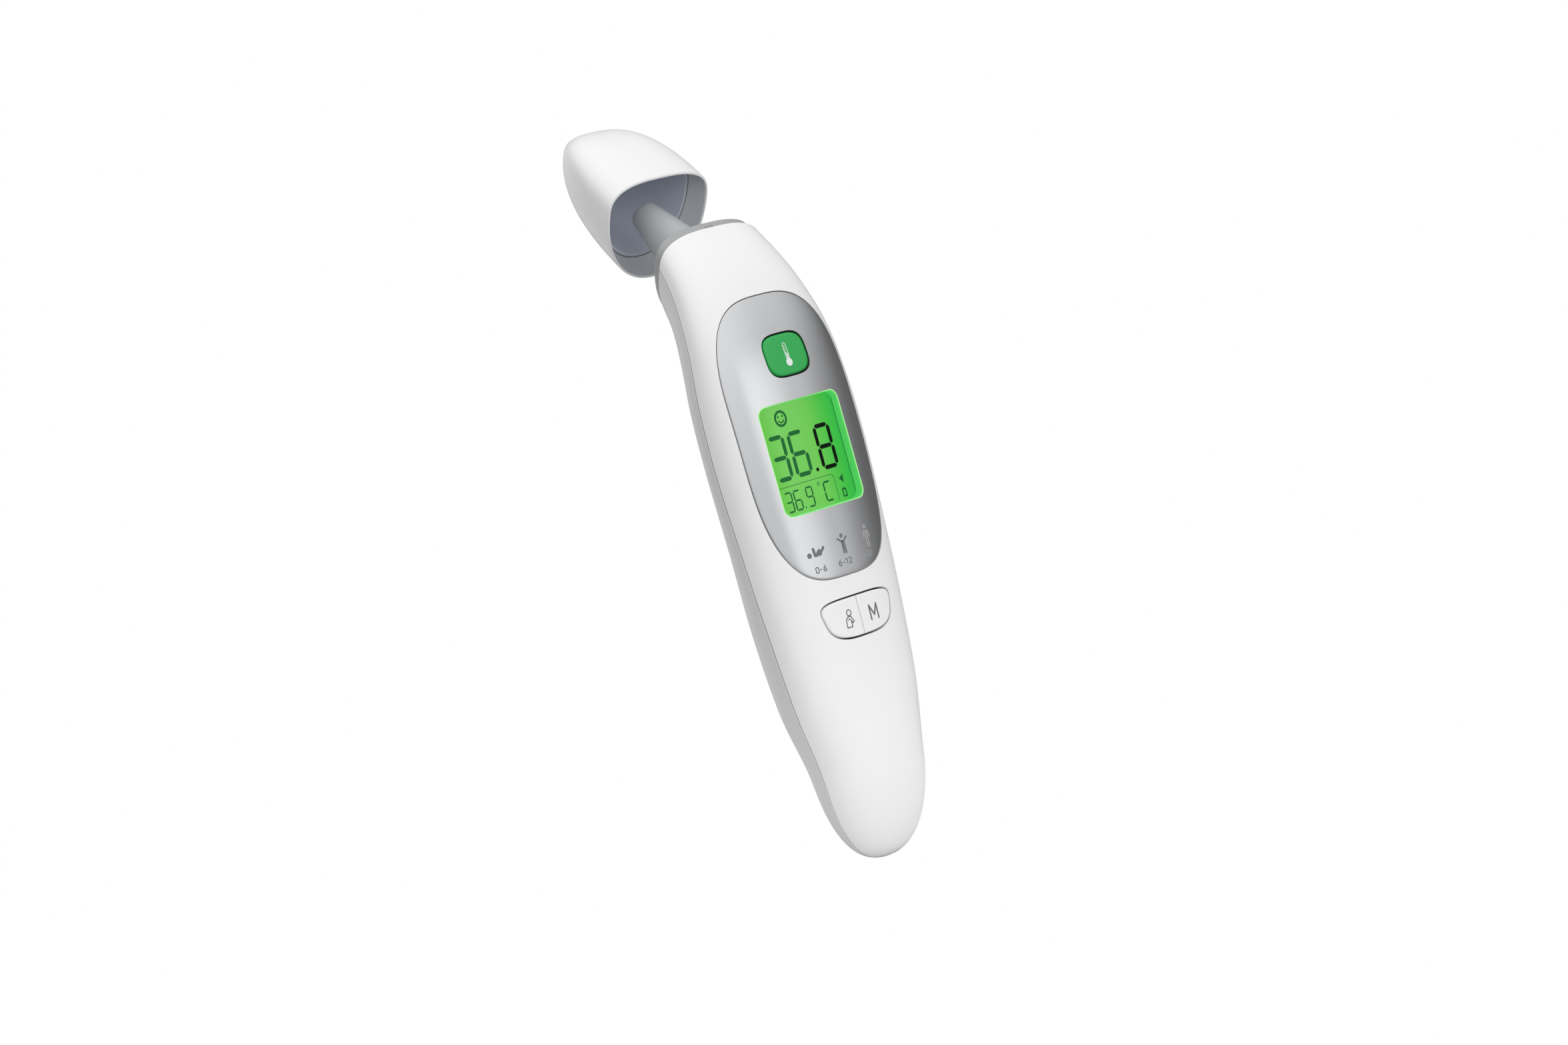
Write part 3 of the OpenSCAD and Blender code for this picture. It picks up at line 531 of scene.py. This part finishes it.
cover_line = round_rect(COVER_W, COVER_Z1 - COVER_Z0, 0.3, 0, COVER_MID, 4)
verts, faces = pad_mesh(
    cover_line, 0.0, lambda x, z: surface_y(x, z, COVER_T, True), 0.25, rear=True, under=20)
cover = mesh_object("battery_door", verts, faces, "battery_cover", REAR_WHITE_SHADED, "shell_grey")
grooves = []
for k in range(4):
    line = round_rect(10 - 1.6 * k, 0.8, 0.35, 0, COVER_Z1 - 5.1 - 2 * k, 5)
    grooves.append(pad_mesh(line, -1.0, lambda x, z: surface_y(x, z, 0.5, True), rear=True))
cut(cover, *grooves)
for side, name in ((-1, "door_rib_left"), (1, "door_rib_right")):
    rib_x, rib_top = side * (COVER_W - RIB_T) / 2, COVER_T - 0.1
    line = round_rect(RIB_T, COVER_Z1 - COVER_Z0 - 2 * RIB_END, 0.1, rib_x, COVER_MID, 2)
    verts, faces = pad_mesh(line, rib_top, lambda x, z: surface_y(x, z, rib_top, True) - RIB_DEPTH, rear=True)
    mesh_object(name, verts, faces, "battery_cover", REAR_WHITE_SHADED, "shell_grey")
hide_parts("battery_cover")

# The shadow line where the shells meet
rows = np.linspace(0.12, LAST - 0.02, 220)
for side, name in ((180, "seam_left"), (0, "seam_right")):
    spread = side + np.array([-0.45, 0.45])
    skins = [casing(rows[:, None], spread[None, :], inset) for inset in (0.13, 0.5)]
    verts, faces = shell_mesh(*skins)
    mesh_object(name, verts, faces, "handle", SEAM, "shell_grey")

# ---- Panel, button, keys -------------------------------------------------------------------------

verts, faces = pad_mesh(panel_outline(), 0.0, lambda x, z: surface_y(x, z, 1.0), 0.22)
panel = mesh_object("panel", verts, faces, "handle", SILVER, "panel_silver")
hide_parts("display_panel")
cut(panel, cutter(window_outline(), *FRONT_CUT), cutter(scan_outline(GAP + 0.1), *FRONT_CUT))

verts, faces = pad_mesh(scan_outline(-0.05), -PROUD, level(KEY_FOOT_Y), 0.5)
button = mesh_object("scan_cap", verts, faces, "scan_button", GREEN, "button_green")
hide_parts("scan_button")

for side, body, name in ((-1, "age_key", "age_cap"), (1, "memory_key", "memory_cap")):
    line = clip_side(keys_outline(-0.05), side, side * 0.08)
    verts, faces = pad_mesh(line, -PROUD, level(KEY_FOOT_Y), 0.3)
    key = mesh_object(name, verts, faces, body, KEY, "key_white")
    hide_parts(body)

# Painted shade: near-black floors under the gaps round the button in the panel and round the keys
verts, faces = pad_mesh(keys_outline(0.6), 1.9, lambda x, z: surface_y(x, z, 2.1))
mesh_object("keys_floor", verts, faces, "handle", GAP_SHADE, "stem_black")
verts, faces = pad_mesh(scan_outline(0.6), 1.9, lambda x, z: surface_y(x, z, 2.1))
mesh_object("scan_floor", verts, faces, "handle", GAP_SHADE, "stem_black")

# ---- Display -------------------------------------------------------------------------------------

verts, faces = pad_mesh(window_outline(-0.05), 0.15, lambda x, z: surface_y(x, z, 0.9))
lens = mesh_object("lens", verts, faces, "handle", LENS, "lens_clear")
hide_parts("display_lens")

# Painted glow: the walls between the display and its window, and a bright ring on the window's edge
walls, glow_rings = [], []
for line in (window_outline(-0.02), window_outline(-0.3)):
    x, z = line.T
    heights = (surface_y(x, z, 0.3), np.full(len(x), LCD_Y - 0.02))
    walls.append(np.stack([np.stack([x, y, z], -1) for y in heights]))
for line in (window_outline(0.02), window_outline(-0.2)):
    x, z = line.T
    glow_rings.append(np.stack([np.stack([x, surface_y(x, z, top), z], -1) for top in (-0.02, 0.2)]))
mesh_object("display_surround", *shell_mesh(*walls, closed=True), "handle", WALL_GLOW, "frame_white")
mesh_object("window_edge_glow", *shell_mesh(*glow_rings, closed=True), "handle", WINDOW_EDGE_GLOW, "frame_white")


def segment(ax, az, bx, bz, half, point=True):
    """A display segment from a to b with pointed or square ends."""
    a, b = np.array([ax, az], float), np.array([bx, bz], float)
    d = (b - a) / np.linalg.norm(b - a)
    n = np.array([-d[1], d[0]])
    cut_in = half if point else 0
    start, end = a + d * cut_in, b - d * cut_in
    sides = [start + n * half, end + n * half, end - n * half, start - n * half]
    return np.array([a, *sides[:2], b, *sides[2:]] if point else sides)


SEGMENTS = {"3": "abgcd", "6": "afgecd", "8": "abcdefg", "9": "abfgcd", "C": "afed"}


def digit(char, left, right, top, bottom, half, space):
    """A seven-segment sign. half is half a segment's width, and space the gap at each end of it."""
    mid = (top + bottom) / 2
    lines = {
        "a": (left, top, right, top), "g": (left, mid, right, mid), "d": (left, bottom, right, bottom),
        "f": (left, top, left, mid), "b": (right, top, right, mid),
        "e": (left, mid, left, bottom), "c": (right, mid, right, bottom),
    }
    out = []
    for k in SEGMENTS[char]:
        ax, az, bx, bz = lines[k]
        d = np.array([bx - ax, bz - az], float)
        d *= space / np.linalg.norm(d)
        out.append(segment(ax + d[0], az + d[1], bx - d[0], bz - d[1], half))
    return out


def disc(cx, cz, r, n=28):
    a = np.linspace(0, 2 * math.pi, n, endpoint=False)
    return np.stack([cx + r * np.cos(a), cz + r * np.sin(a)], -1)


def arc(cx, cz, rx, rz, degrees):
    """Points at the given angles of an ellipse."""
    return [(cx + rx * math.cos(a), cz + rz * math.sin(a)) for a in np.radians(degrees)]


def ring(cx, cz, r, width, n=28):
    a, b = disc(cx, cz, r, n), disc(cx, cz, r - width, n)
    return [np.array([a[i], a[(i + 1) % n], b[(i + 1) % n], b[i]]) for i in range(n)]


def stroke(points, width):
    """A line of even width along points, with round joints."""
    out = []
    for p, q in zip(points[:-1], points[1:]):
        out.append(segment(*p, *q, width / 2, point=False))
    for p in points:
        out.append(disc(*p, width / 2, 12))
    return out


def marks(name, shapes, height, body, material, slot, thick=0.03, lift=0.02):
    """Thin printed shapes. height(x, z) gives the surface they lie on, and they stand out of it by lift."""
    verts, faces = [], []
    for shape in shapes:
        n = len(shape)
        x, z = np.asarray(shape, float).T
        y = height(x, z)
        base = len(verts)
        verts += list(np.stack([x, y - lift, z], -1)) + list(np.stack([x, y - lift + thick, z], -1))
        faces += [tuple(base + i for i in range(n)), tuple(base + n + i for i in reversed(range(n)))]
        faces += [(base + i, base + n + i, base + n + (i + 1) % n, base + (i + 1) % n) for i in range(n)]
    return mesh_object(name, np.array(verts), faces, body, material, slot, 20)


def on_lcd(x, z):
    return np.full(np.shape(x), LCD_Y)


def at_window(shapes):
    return [np.asarray(s) + [0, WINDOW_Z] for s in shapes]


big = digit("3", -9.85, -5.9, 5.1, -3.86, 0.47, 0.14) + digit("6", -4.1, -0.15, 5.1, -3.86, 0.47, 0.14)
marks("big_digits", at_window(big), on_lcd, "handle", DIGIT, "lcd_green")
black = digit("8", 3.65, 7.6, 5.1, -3.86, 0.46, 0.14) + [disc(1.65, -3.75, 0.42)]
marks("black_digit", at_window(black), on_lcd, "handle", DIGIT_DARK, "lcd_green")
small = []
for char, left in (("3", -9.4), ("6", -6.9), ("9", -3.3)):
    small += digit(char, left, left + 1.75, -6.75, -10.85, 0.19, 0.05)
small += digit("C", 2.05, 3.95, -6.75, -10.75, 0.22, 0.05)
# The decimal point, the degree ring and two small signs
small += [disc(-4.35, -10.75, 0.2)] + ring(0.7, -6.7, 0.38, 0.14)
small += [np.array([[6.85, -6.9], [8.15, -6.0], [8.0, -7.95]])]
for line in ([(7.05, -9.3), (7.95, -9.3)], [(7.05, -10.8), (7.95, -10.8)], [(7.05, -9.3), (7.05, -10.8)],
             [(7.95, -9.3), (7.95, -10.8)]):
    small += stroke(line, 0.32)
small += [disc(7.5, -9.05, 0.2)]
marks("small_digits", at_window(small), on_lcd, "handle", DIGIT, "lcd_green")
corner = arc(4.6, -6.4, 0.9, 0.9, range(90, -1, -15))
lines = stroke([(-11.2, -5.5), (4.5, -5.5)] + corner + [(5.5, -11.4)], 0.12)
lines += stroke([(10.8, -12.3), (10.8, 12.3)], 0.32)
marks("box_line", at_window(lines), on_lcd, "handle", DIGIT, "lcd_green")
face = ring(-4.8, 8.75, 1.8, 0.55) + [disc(-5.4, 9.2, 0.25, 12), disc(-4.2, 9.2, 0.25, 12)]
smile = arc(-4.8, 8.6, 0.75, 0.7, range(200, 341, 20))
marks("smiley", at_window(face + stroke(smile, 0.28)), on_lcd, "handle", DIGIT, "lcd_green")

# ---- Printed icons -------------------------------------------------------------------------------


def on_front(x, z):
    return surface_y(x, z)


def on_proud(x, z):
    return surface_y(x, z, -PROUD)


baby = [disc(-9.25, 65.35, 0.58)] + stroke([(-7.95, 66.5), (-7.8, 65.1), (-6.3, 65.15)], 0.7)
baby += stroke([(-6.3, 65.3), (-5.2, 66.3)], 0.62) + stroke([(-7.1, 65.4), (-6.5, 65.9)], 0.7)
child = [disc(0.5, 67.55, 0.46)] + stroke([(-0.75, 67.1), (0.15, 66.35), (0.85, 66.35), (1.75, 67.1)], 0.42)
child += stroke([(0.3, 66.3), (0.2, 63.9)], 0.5) + stroke([(0.72, 66.3), (0.85, 63.9)], 0.5)
adult = [disc(7.8, 67.9, 0.45)] + stroke([(6.9, 65.6), (7.1, 66.9), (8.5, 66.9), (8.7, 65.6)], 0.34)
adult += stroke([(7.5, 66.8), (7.45, 63.6)], 0.36) + stroke([(8.1, 66.8), (8.15, 63.6)], 0.36)
marks("age_icons", baby + child, on_front, "handle", PRINT, "panel_silver")
marks("adult_icon", adult, on_front, "handle", PRINT_FAINT, "panel_silver")

# Each sign is one line, in a box one high
SIGNS = {
    "0": [(0, 0.15), (0, 0.85), (0.15, 1), (0.45, 1), (0.6, 0.85), (0.6, 0.15), (0.45, 0), (0.15, 0),
          (0, 0.15)],
    "1": [(0.1, 0.8), (0.35, 1), (0.35, 0)],
    "2": [(0, 0.85), (0.15, 1), (0.45, 1), (0.6, 0.8), (0.55, 0.6), (0, 0), (0.6, 0)],
    "6": [(0.5, 1), (0.1, 0.6), (0, 0.3), (0.1, 0.05), (0.3, 0), (0.5, 0.05), (0.6, 0.3), (0.5, 0.5),
          (0.3, 0.57), (0.08, 0.45)],
    "-": [(0.1, 0.45), (0.45, 0.45)],
    ">": [(0.05, 0.85), (0.5, 0.45), (0.05, 0.1)],
}


def lettering(text, cx, cz, height, width):
    """Strokes for a row of signs round (cx, cz)."""
    advance, space = 0.85, 0.25
    out = []
    x = cx - (len(text) * advance - space) * height / 2
    for char in text:
        out += stroke([(x + u * height, cz + (v - 0.5) * height) for u, v in SIGNS[char]], width)
        x += advance * height
    return out


ages = lettering("0-6", -7.2, 62.0, 1.2, 0.22) + lettering("6-12", -0.2, 62.05, 1.2, 0.2)
marks("age_numbers", ages, on_front, "handle", PRINT, "panel_silver")
marks("age_last", lettering(">12", 6.6, 62.3, 1.15, 0.16), on_front, "handle", PRINT_FAINT, "panel_silver")

m = stroke([(2.75, 48.6), (2.75, 51.7), (3.85, 49.5), (4.95, 51.7), (4.95, 48.6)], 0.42)
marks("memory_letter", m, on_proud, "memory_key", PRINT, "key_white")
person = ring(-3.25, 51.5, 0.75, 0.26)
torso = [(-4.5, 48.5), (-4.4, 50.0), (-3.9, 50.7), (-3.0, 50.7)]
arm = [(-2.3, 49.5), (-2.75, 49.2), (-3.1, 49.9), (-3.1, 48.4), (-4.5, 48.5)]
person += stroke(torso + arm, 0.26)
person += stroke([(-3.9, 50.0), (-3.5, 50.3), (-3.1, 49.9)], 0.2)
marks("person_sign", person, on_proud, "age_key", PRINT, "key_white")

glass = stroke([(-0.42, 109.6), (-0.42, 106.5)], 0.16) + stroke([(0.42, 109.6), (0.42, 106.5)], 0.16)
glass += stroke(arc(0, 109.6, 0.42, 0.42, range(0, 181, 30)), 0.16)
glass += [disc(0, 105.8, 0.85)] + stroke([(0, 106), (0, 107.6)], 0.4)
glass += [s for k in range(4) for s in stroke([(-0.35, 107.9 + 0.5 * k), (0.02, 107.9 + 0.5 * k)], 0.14)]
marks("scan_sign", glass, on_proud, "scan_button", PRINT_WHITE, "button_green")

# ---- Head: collar, probe, cap --------------------------------------------------------------------

RIM = section(float(LAST))
RIM_MID = np.array([0, (RIM[0] + RIM[2]) / 2, (RIM[1] + RIM[3]) / 2])
RIM_DIR = np.array([0, RIM[2] - RIM[0], RIM[3] - RIM[1]])
RIM_DIR = RIM_DIR / np.linalg.norm(RIM_DIR)


def mouth(ang, inset):
    return casing(float(LAST), ang, inset)


around = np.linspace(0, 360, 241)[:-1]


def cap_rows(parts, inset, length):
    """Rings of a cap surface, each at its own part of the length, from 0 at the rim to 1 at the end."""
    rows = []
    for t, sunk in zip(parts, np.broadcast_to(inset, np.shape(parts))):
        share = max(0, 1 - t**CAP_ROUNDNESS) ** (1 / CAP_ROUNDNESS)
        rows.append(RIM_MID + (mouth(around, sunk) - RIM_MID) * share + PROBE * (t * length + CAP_OPEN))
    return np.array(rows)


turns = np.sin(np.radians(np.linspace(0, 89.3, 90)))
length = CAP_LEN - CAP_WALL
RIM_WALL, RIM_HEIGHT = LIP_INSET - 0.15, LIP_HEIGHT + 0.3
near = np.array([0, 0.06, 0.14, 0.26, 0.4]) / CAP_LEN
rounding = 0.26 * (1 - np.sqrt(1 - (1 - near * CAP_LEN / 0.4) ** 2))
late = turns[turns > 0.5 / CAP_LEN]
outer = cap_rows(np.concatenate([near, late]), np.concatenate([rounding, 0 * late]), CAP_LEN)[::-1]
steps = np.array([0, RIM_HEIGHT, LINER_START]) / length
late = turns[turns > (LINER_START + 0.2) / length]
insets = np.concatenate([[0.45, RIM_WALL, CAP_WALL], CAP_WALL + 0 * late])
inner = cap_rows(np.concatenate([steps, late]), insets, length)[::-1]
poles = [RIM_MID + PROBE * (CAP_LEN + CAP_OPEN), RIM_MID + PROBE * (length + CAP_OPEN)]


def closed_rings(rows, poles):
    """A solid through a stack of rings, closed by a point at each end."""
    n = rows.shape[1]
    verts = np.concatenate([rows.reshape(-1, 3), np.array(poles, float)])
    faces = grid_faces(len(rows), n, 0, closed=True)
    first, last = len(rows) * n, (len(rows) - 1) * n
    for c in range(n):
        d = (c + 1) % n
        faces += [(first, d, c), (first + 1, last + c, last + d)]
    return verts, faces


verts, faces = closed_rings(np.concatenate([outer, inner[::-1]]), poles)
cap = mesh_object("cap_skin", verts, faces, "cap", CAP, "cap_white")
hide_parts("cap_shell")

length = CAP_LEN - CAP_WALL - LINER_GAP
sunk = CAP_WALL + LINER_GAP
start = LINER_START / length
outer = cap_rows(start + (1 - start) * turns, sunk, length)[::-1]
inner_length = length - LINER_T
start = LINER_START / inner_length
inner = cap_rows(start + (1 - start) * turns, sunk + LINER_T, inner_length)[::-1]
poles = [RIM_MID + PROBE * (length + CAP_OPEN), RIM_MID + PROBE * (inner_length + CAP_OPEN)]
verts, faces = closed_rings(np.concatenate([outer, inner[::-1]]), poles)
liner = mesh_object("cap_lining", verts, faces, "cap", LINER, "liner_bluegrey")
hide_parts("cap_liner")

# A grey band inside the rim: painted shade on the cap's white inner face
band = [(0.35, 0.5), (RIM_HEIGHT, RIM_WALL + 0.04), (LINER_START - 0.03, CAP_WALL + 0.06)]
outer = cap_rows([t / CAP_LEN for t, _ in band], [i - 0.02 for _, i in band], CAP_LEN)
inner = cap_rows([t / CAP_LEN for t, _ in band], [i + 0.05 for _, i in band], CAP_LEN)
verts, faces = shell_mesh(outer, inner, closed=True)
mesh_object("cap_shade_band", verts, faces, "cap", CAP_INNER_SHADE, "liner_bluegrey")

# The shadow line where the lining starts
outer, inner = (cap_rows([t / CAP_LEN] * 2, [CAP_WALL + 0.08, sunk + 0.3], CAP_LEN)
                for t in (LINER_START - 0.06, LINER_START - 0.02))
verts, faces = shell_mesh(outer, inner, closed=True)
mesh_object("cap_seam", verts, faces, "cap", SEAM, "liner_bluegrey")


def plug(points):
    """A solid that follows the mouth's outline, through (inset, height along the probe) pairs."""
    rows = np.array([mouth(around, i) + PROBE * h for i, h in points])
    return closed_rings(rows, [RIM_MID + PROBE * points[0][1], RIM_MID + PROBE * points[-1][1]])


def rod(centre, direction, r, h0, h1, n=64):
    """A cylinder along direction, from h0 to h1."""
    side = np.array([1.0, 0, 0])
    other = np.cross(direction, side)
    a = np.linspace(0, 2 * math.pi, n, endpoint=False)
    spokes = np.cos(a)[:, None] * side + np.sin(a)[:, None] * other
    verts = np.concatenate([centre + direction * h0 + spokes * r, centre + direction * h1 + spokes * r])
    faces = [tuple(range(n)), tuple(range(2 * n - 1, n - 1, -1))]
    return verts, faces + [(c, (c + 1) % n, n + (c + 1) % n, n + c) for c in range(n)]


top = arc(LIP_INSET + 0.25, LIP_HEIGHT - 0.25, 0.25, 0.25, [180, 160, 135, 110, 90])
profile = [(WALL + 1, -3), (WALL + 0.2, 0), (WALL + 0.2, 0.03), (LIP_INSET, 0.03)] + top
profile += [(WALL + 0.8, LIP_HEIGHT), (WALL + 1, LIP_HEIGHT - 0.2), (WALL + 1, 0.2)]
collar = mesh_object("collar", *plug(profile), "handle", COLLAR, "collar_grey")
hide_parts("probe_collar")
plunger_at = np.array([PLUNGER_X, RIM[0], RIM[1]]) + RIM_DIR * PLUNGER_ALONG
notch = cutter(round_rect(2.4, 6, 0.3, 0, RIM[1] + 1.6), RIM[0] - 4, RIM[0] + 1.2)
probe_hole = rod(RIM_MID, PROBE, COLLAR_HOLE_R, -15, 12)
cut(collar, probe_hole, rod(plunger_at, PROBE, PLUNGER_HOLE_R, -15, 12, 24), notch)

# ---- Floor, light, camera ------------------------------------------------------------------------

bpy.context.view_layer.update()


def compass(azimuth, elevation):
    """A unit vector from two angles in radians. Azimuth 0 is the front, and it grows towards +X."""
    level_part = math.cos(elevation)
    return Vector((math.sin(azimuth) * level_part, -math.cos(azimuth) * level_part, math.sin(elevation)))


bpy.ops.mesh.primitive_plane_add(size=0.24, location=(0, 0, -0.0005))
floor = bpy.context.active_object
floor.name = "floor"
floor.data.materials.append(principled("floor_white", (0.83, 0.83, 0.83), 0.9, spec=0.0))
floor_tree = floor.data.materials[0].node_tree
bright = floor_tree.nodes.new("ShaderNodeEmission")
floor_path = floor_tree.nodes.new("ShaderNodeLightPath")
floor_mix = floor_tree.nodes.new("ShaderNodeMixShader")
floor_tree.links.new(floor_path.outputs["Is Camera Ray"], floor_mix.inputs["Fac"])
floor_tree.links.new(floor_tree.nodes["Principled BSDF"].outputs["BSDF"], floor_mix.inputs[1])
floor_tree.links.new(bright.outputs["Emission"], floor_mix.inputs[2])
floor_tree.links.new(floor_mix.outputs["Shader"], floor_tree.nodes["Material Output"].inputs["Surface"])

# A white studio, brightest above the left front, whose backdrop stays plain white
world = bpy.data.worlds.new("studio")
bpy.context.scene.world = world
world.use_nodes = True
nodes, links = world.node_tree.nodes, world.node_tree.links
seen = nodes["Background"]
seen.inputs["Color"].default_value = (1, 1, 1, 1)
seen.inputs["Strength"].default_value = 1.0
coords = nodes.new("ShaderNodeTexCoord")
lobe = nodes.new("ShaderNodeVectorMath")
lobe.operation = "DOT_PRODUCT"
lobe.inputs[1].default_value = compass(math.radians(-20), math.radians(53))
spread = nodes.new("ShaderNodeMapRange")
spread.interpolation_type = "SMOOTHSTEP"
spread.inputs["From Min"].default_value = -0.08
spread.inputs["From Max"].default_value = 0.85
spread.inputs["To Min"].default_value = 0.18
spread.inputs["To Max"].default_value = 1.6
lit = nodes.new("ShaderNodeBackground")
path = nodes.new("ShaderNodeLightPath")
mix = nodes.new("ShaderNodeMixShader")
links.new(coords.outputs["Generated"], lobe.inputs[0])
links.new(lobe.outputs["Value"], spread.inputs["Value"])
links.new(spread.outputs["Result"], lit.inputs["Strength"])
links.new(path.outputs["Is Camera Ray"], mix.inputs["Fac"])
links.new(lit.outputs["Background"], mix.inputs[1])
links.new(seen.outputs["Background"], mix.inputs[2])
links.new(mix.outputs["Shader"], nodes["World Output"].inputs["Surface"])

for name, az, el, size, energy in (("front_softbox", 25, -5, 0.57, 0.75), ("rear_softbox", 180, 8, 0.8, 2.2)):
    lamp = bpy.data.lights.new(name, "AREA")
    lamp.shape = "SQUARE"
    lamp.size = size
    lamp.energy = energy
    az, el, aim = math.radians(az), math.radians(el), Vector((0, 0, 0.09))
    softbox = bpy.data.objects.new(name, lamp)
    softbox.rotation_mode = "QUATERNION"
    softbox.location = aim + compass(az, el)
    softbox.rotation_quaternion = (aim - softbox.location).to_track_quat("-Z", "Y")
    bpy.context.scene.collection.objects.link(softbox)

bpy.context.scene.view_settings.view_transform = "Standard"

# The camera looks at the left front corner from just above, rolled so that the handle leans
azimuth, elevation, roll, distance = math.radians(-42), math.radians(2), math.radians(15.3), 0.9202
back = compass(azimuth, elevation)
right = Vector((math.cos(azimuth), math.sin(azimuth), 0))
up = back.cross(right)
cam_right = right * math.cos(roll) - up * math.sin(roll)
cam_up = right * math.sin(roll) + up * math.cos(roll)
camera = bpy.data.cameras.new("camera")
camera.lens = 100
camera.sensor_width = 36
camera.clip_start, camera.clip_end = 0.05, 50
view = bpy.data.objects.new("camera", camera)
bpy.context.scene.collection.objects.link(view)
target = Vector(place([0, -7.9, 86])) - cam_right * 0.005634 - cam_up * 0.014648
turn = Matrix((cam_right, cam_up, back)).transposed().to_4x4()
view.matrix_world = Matrix.Translation(target + back * distance) @ turn
bpy.context.scene.camera = view
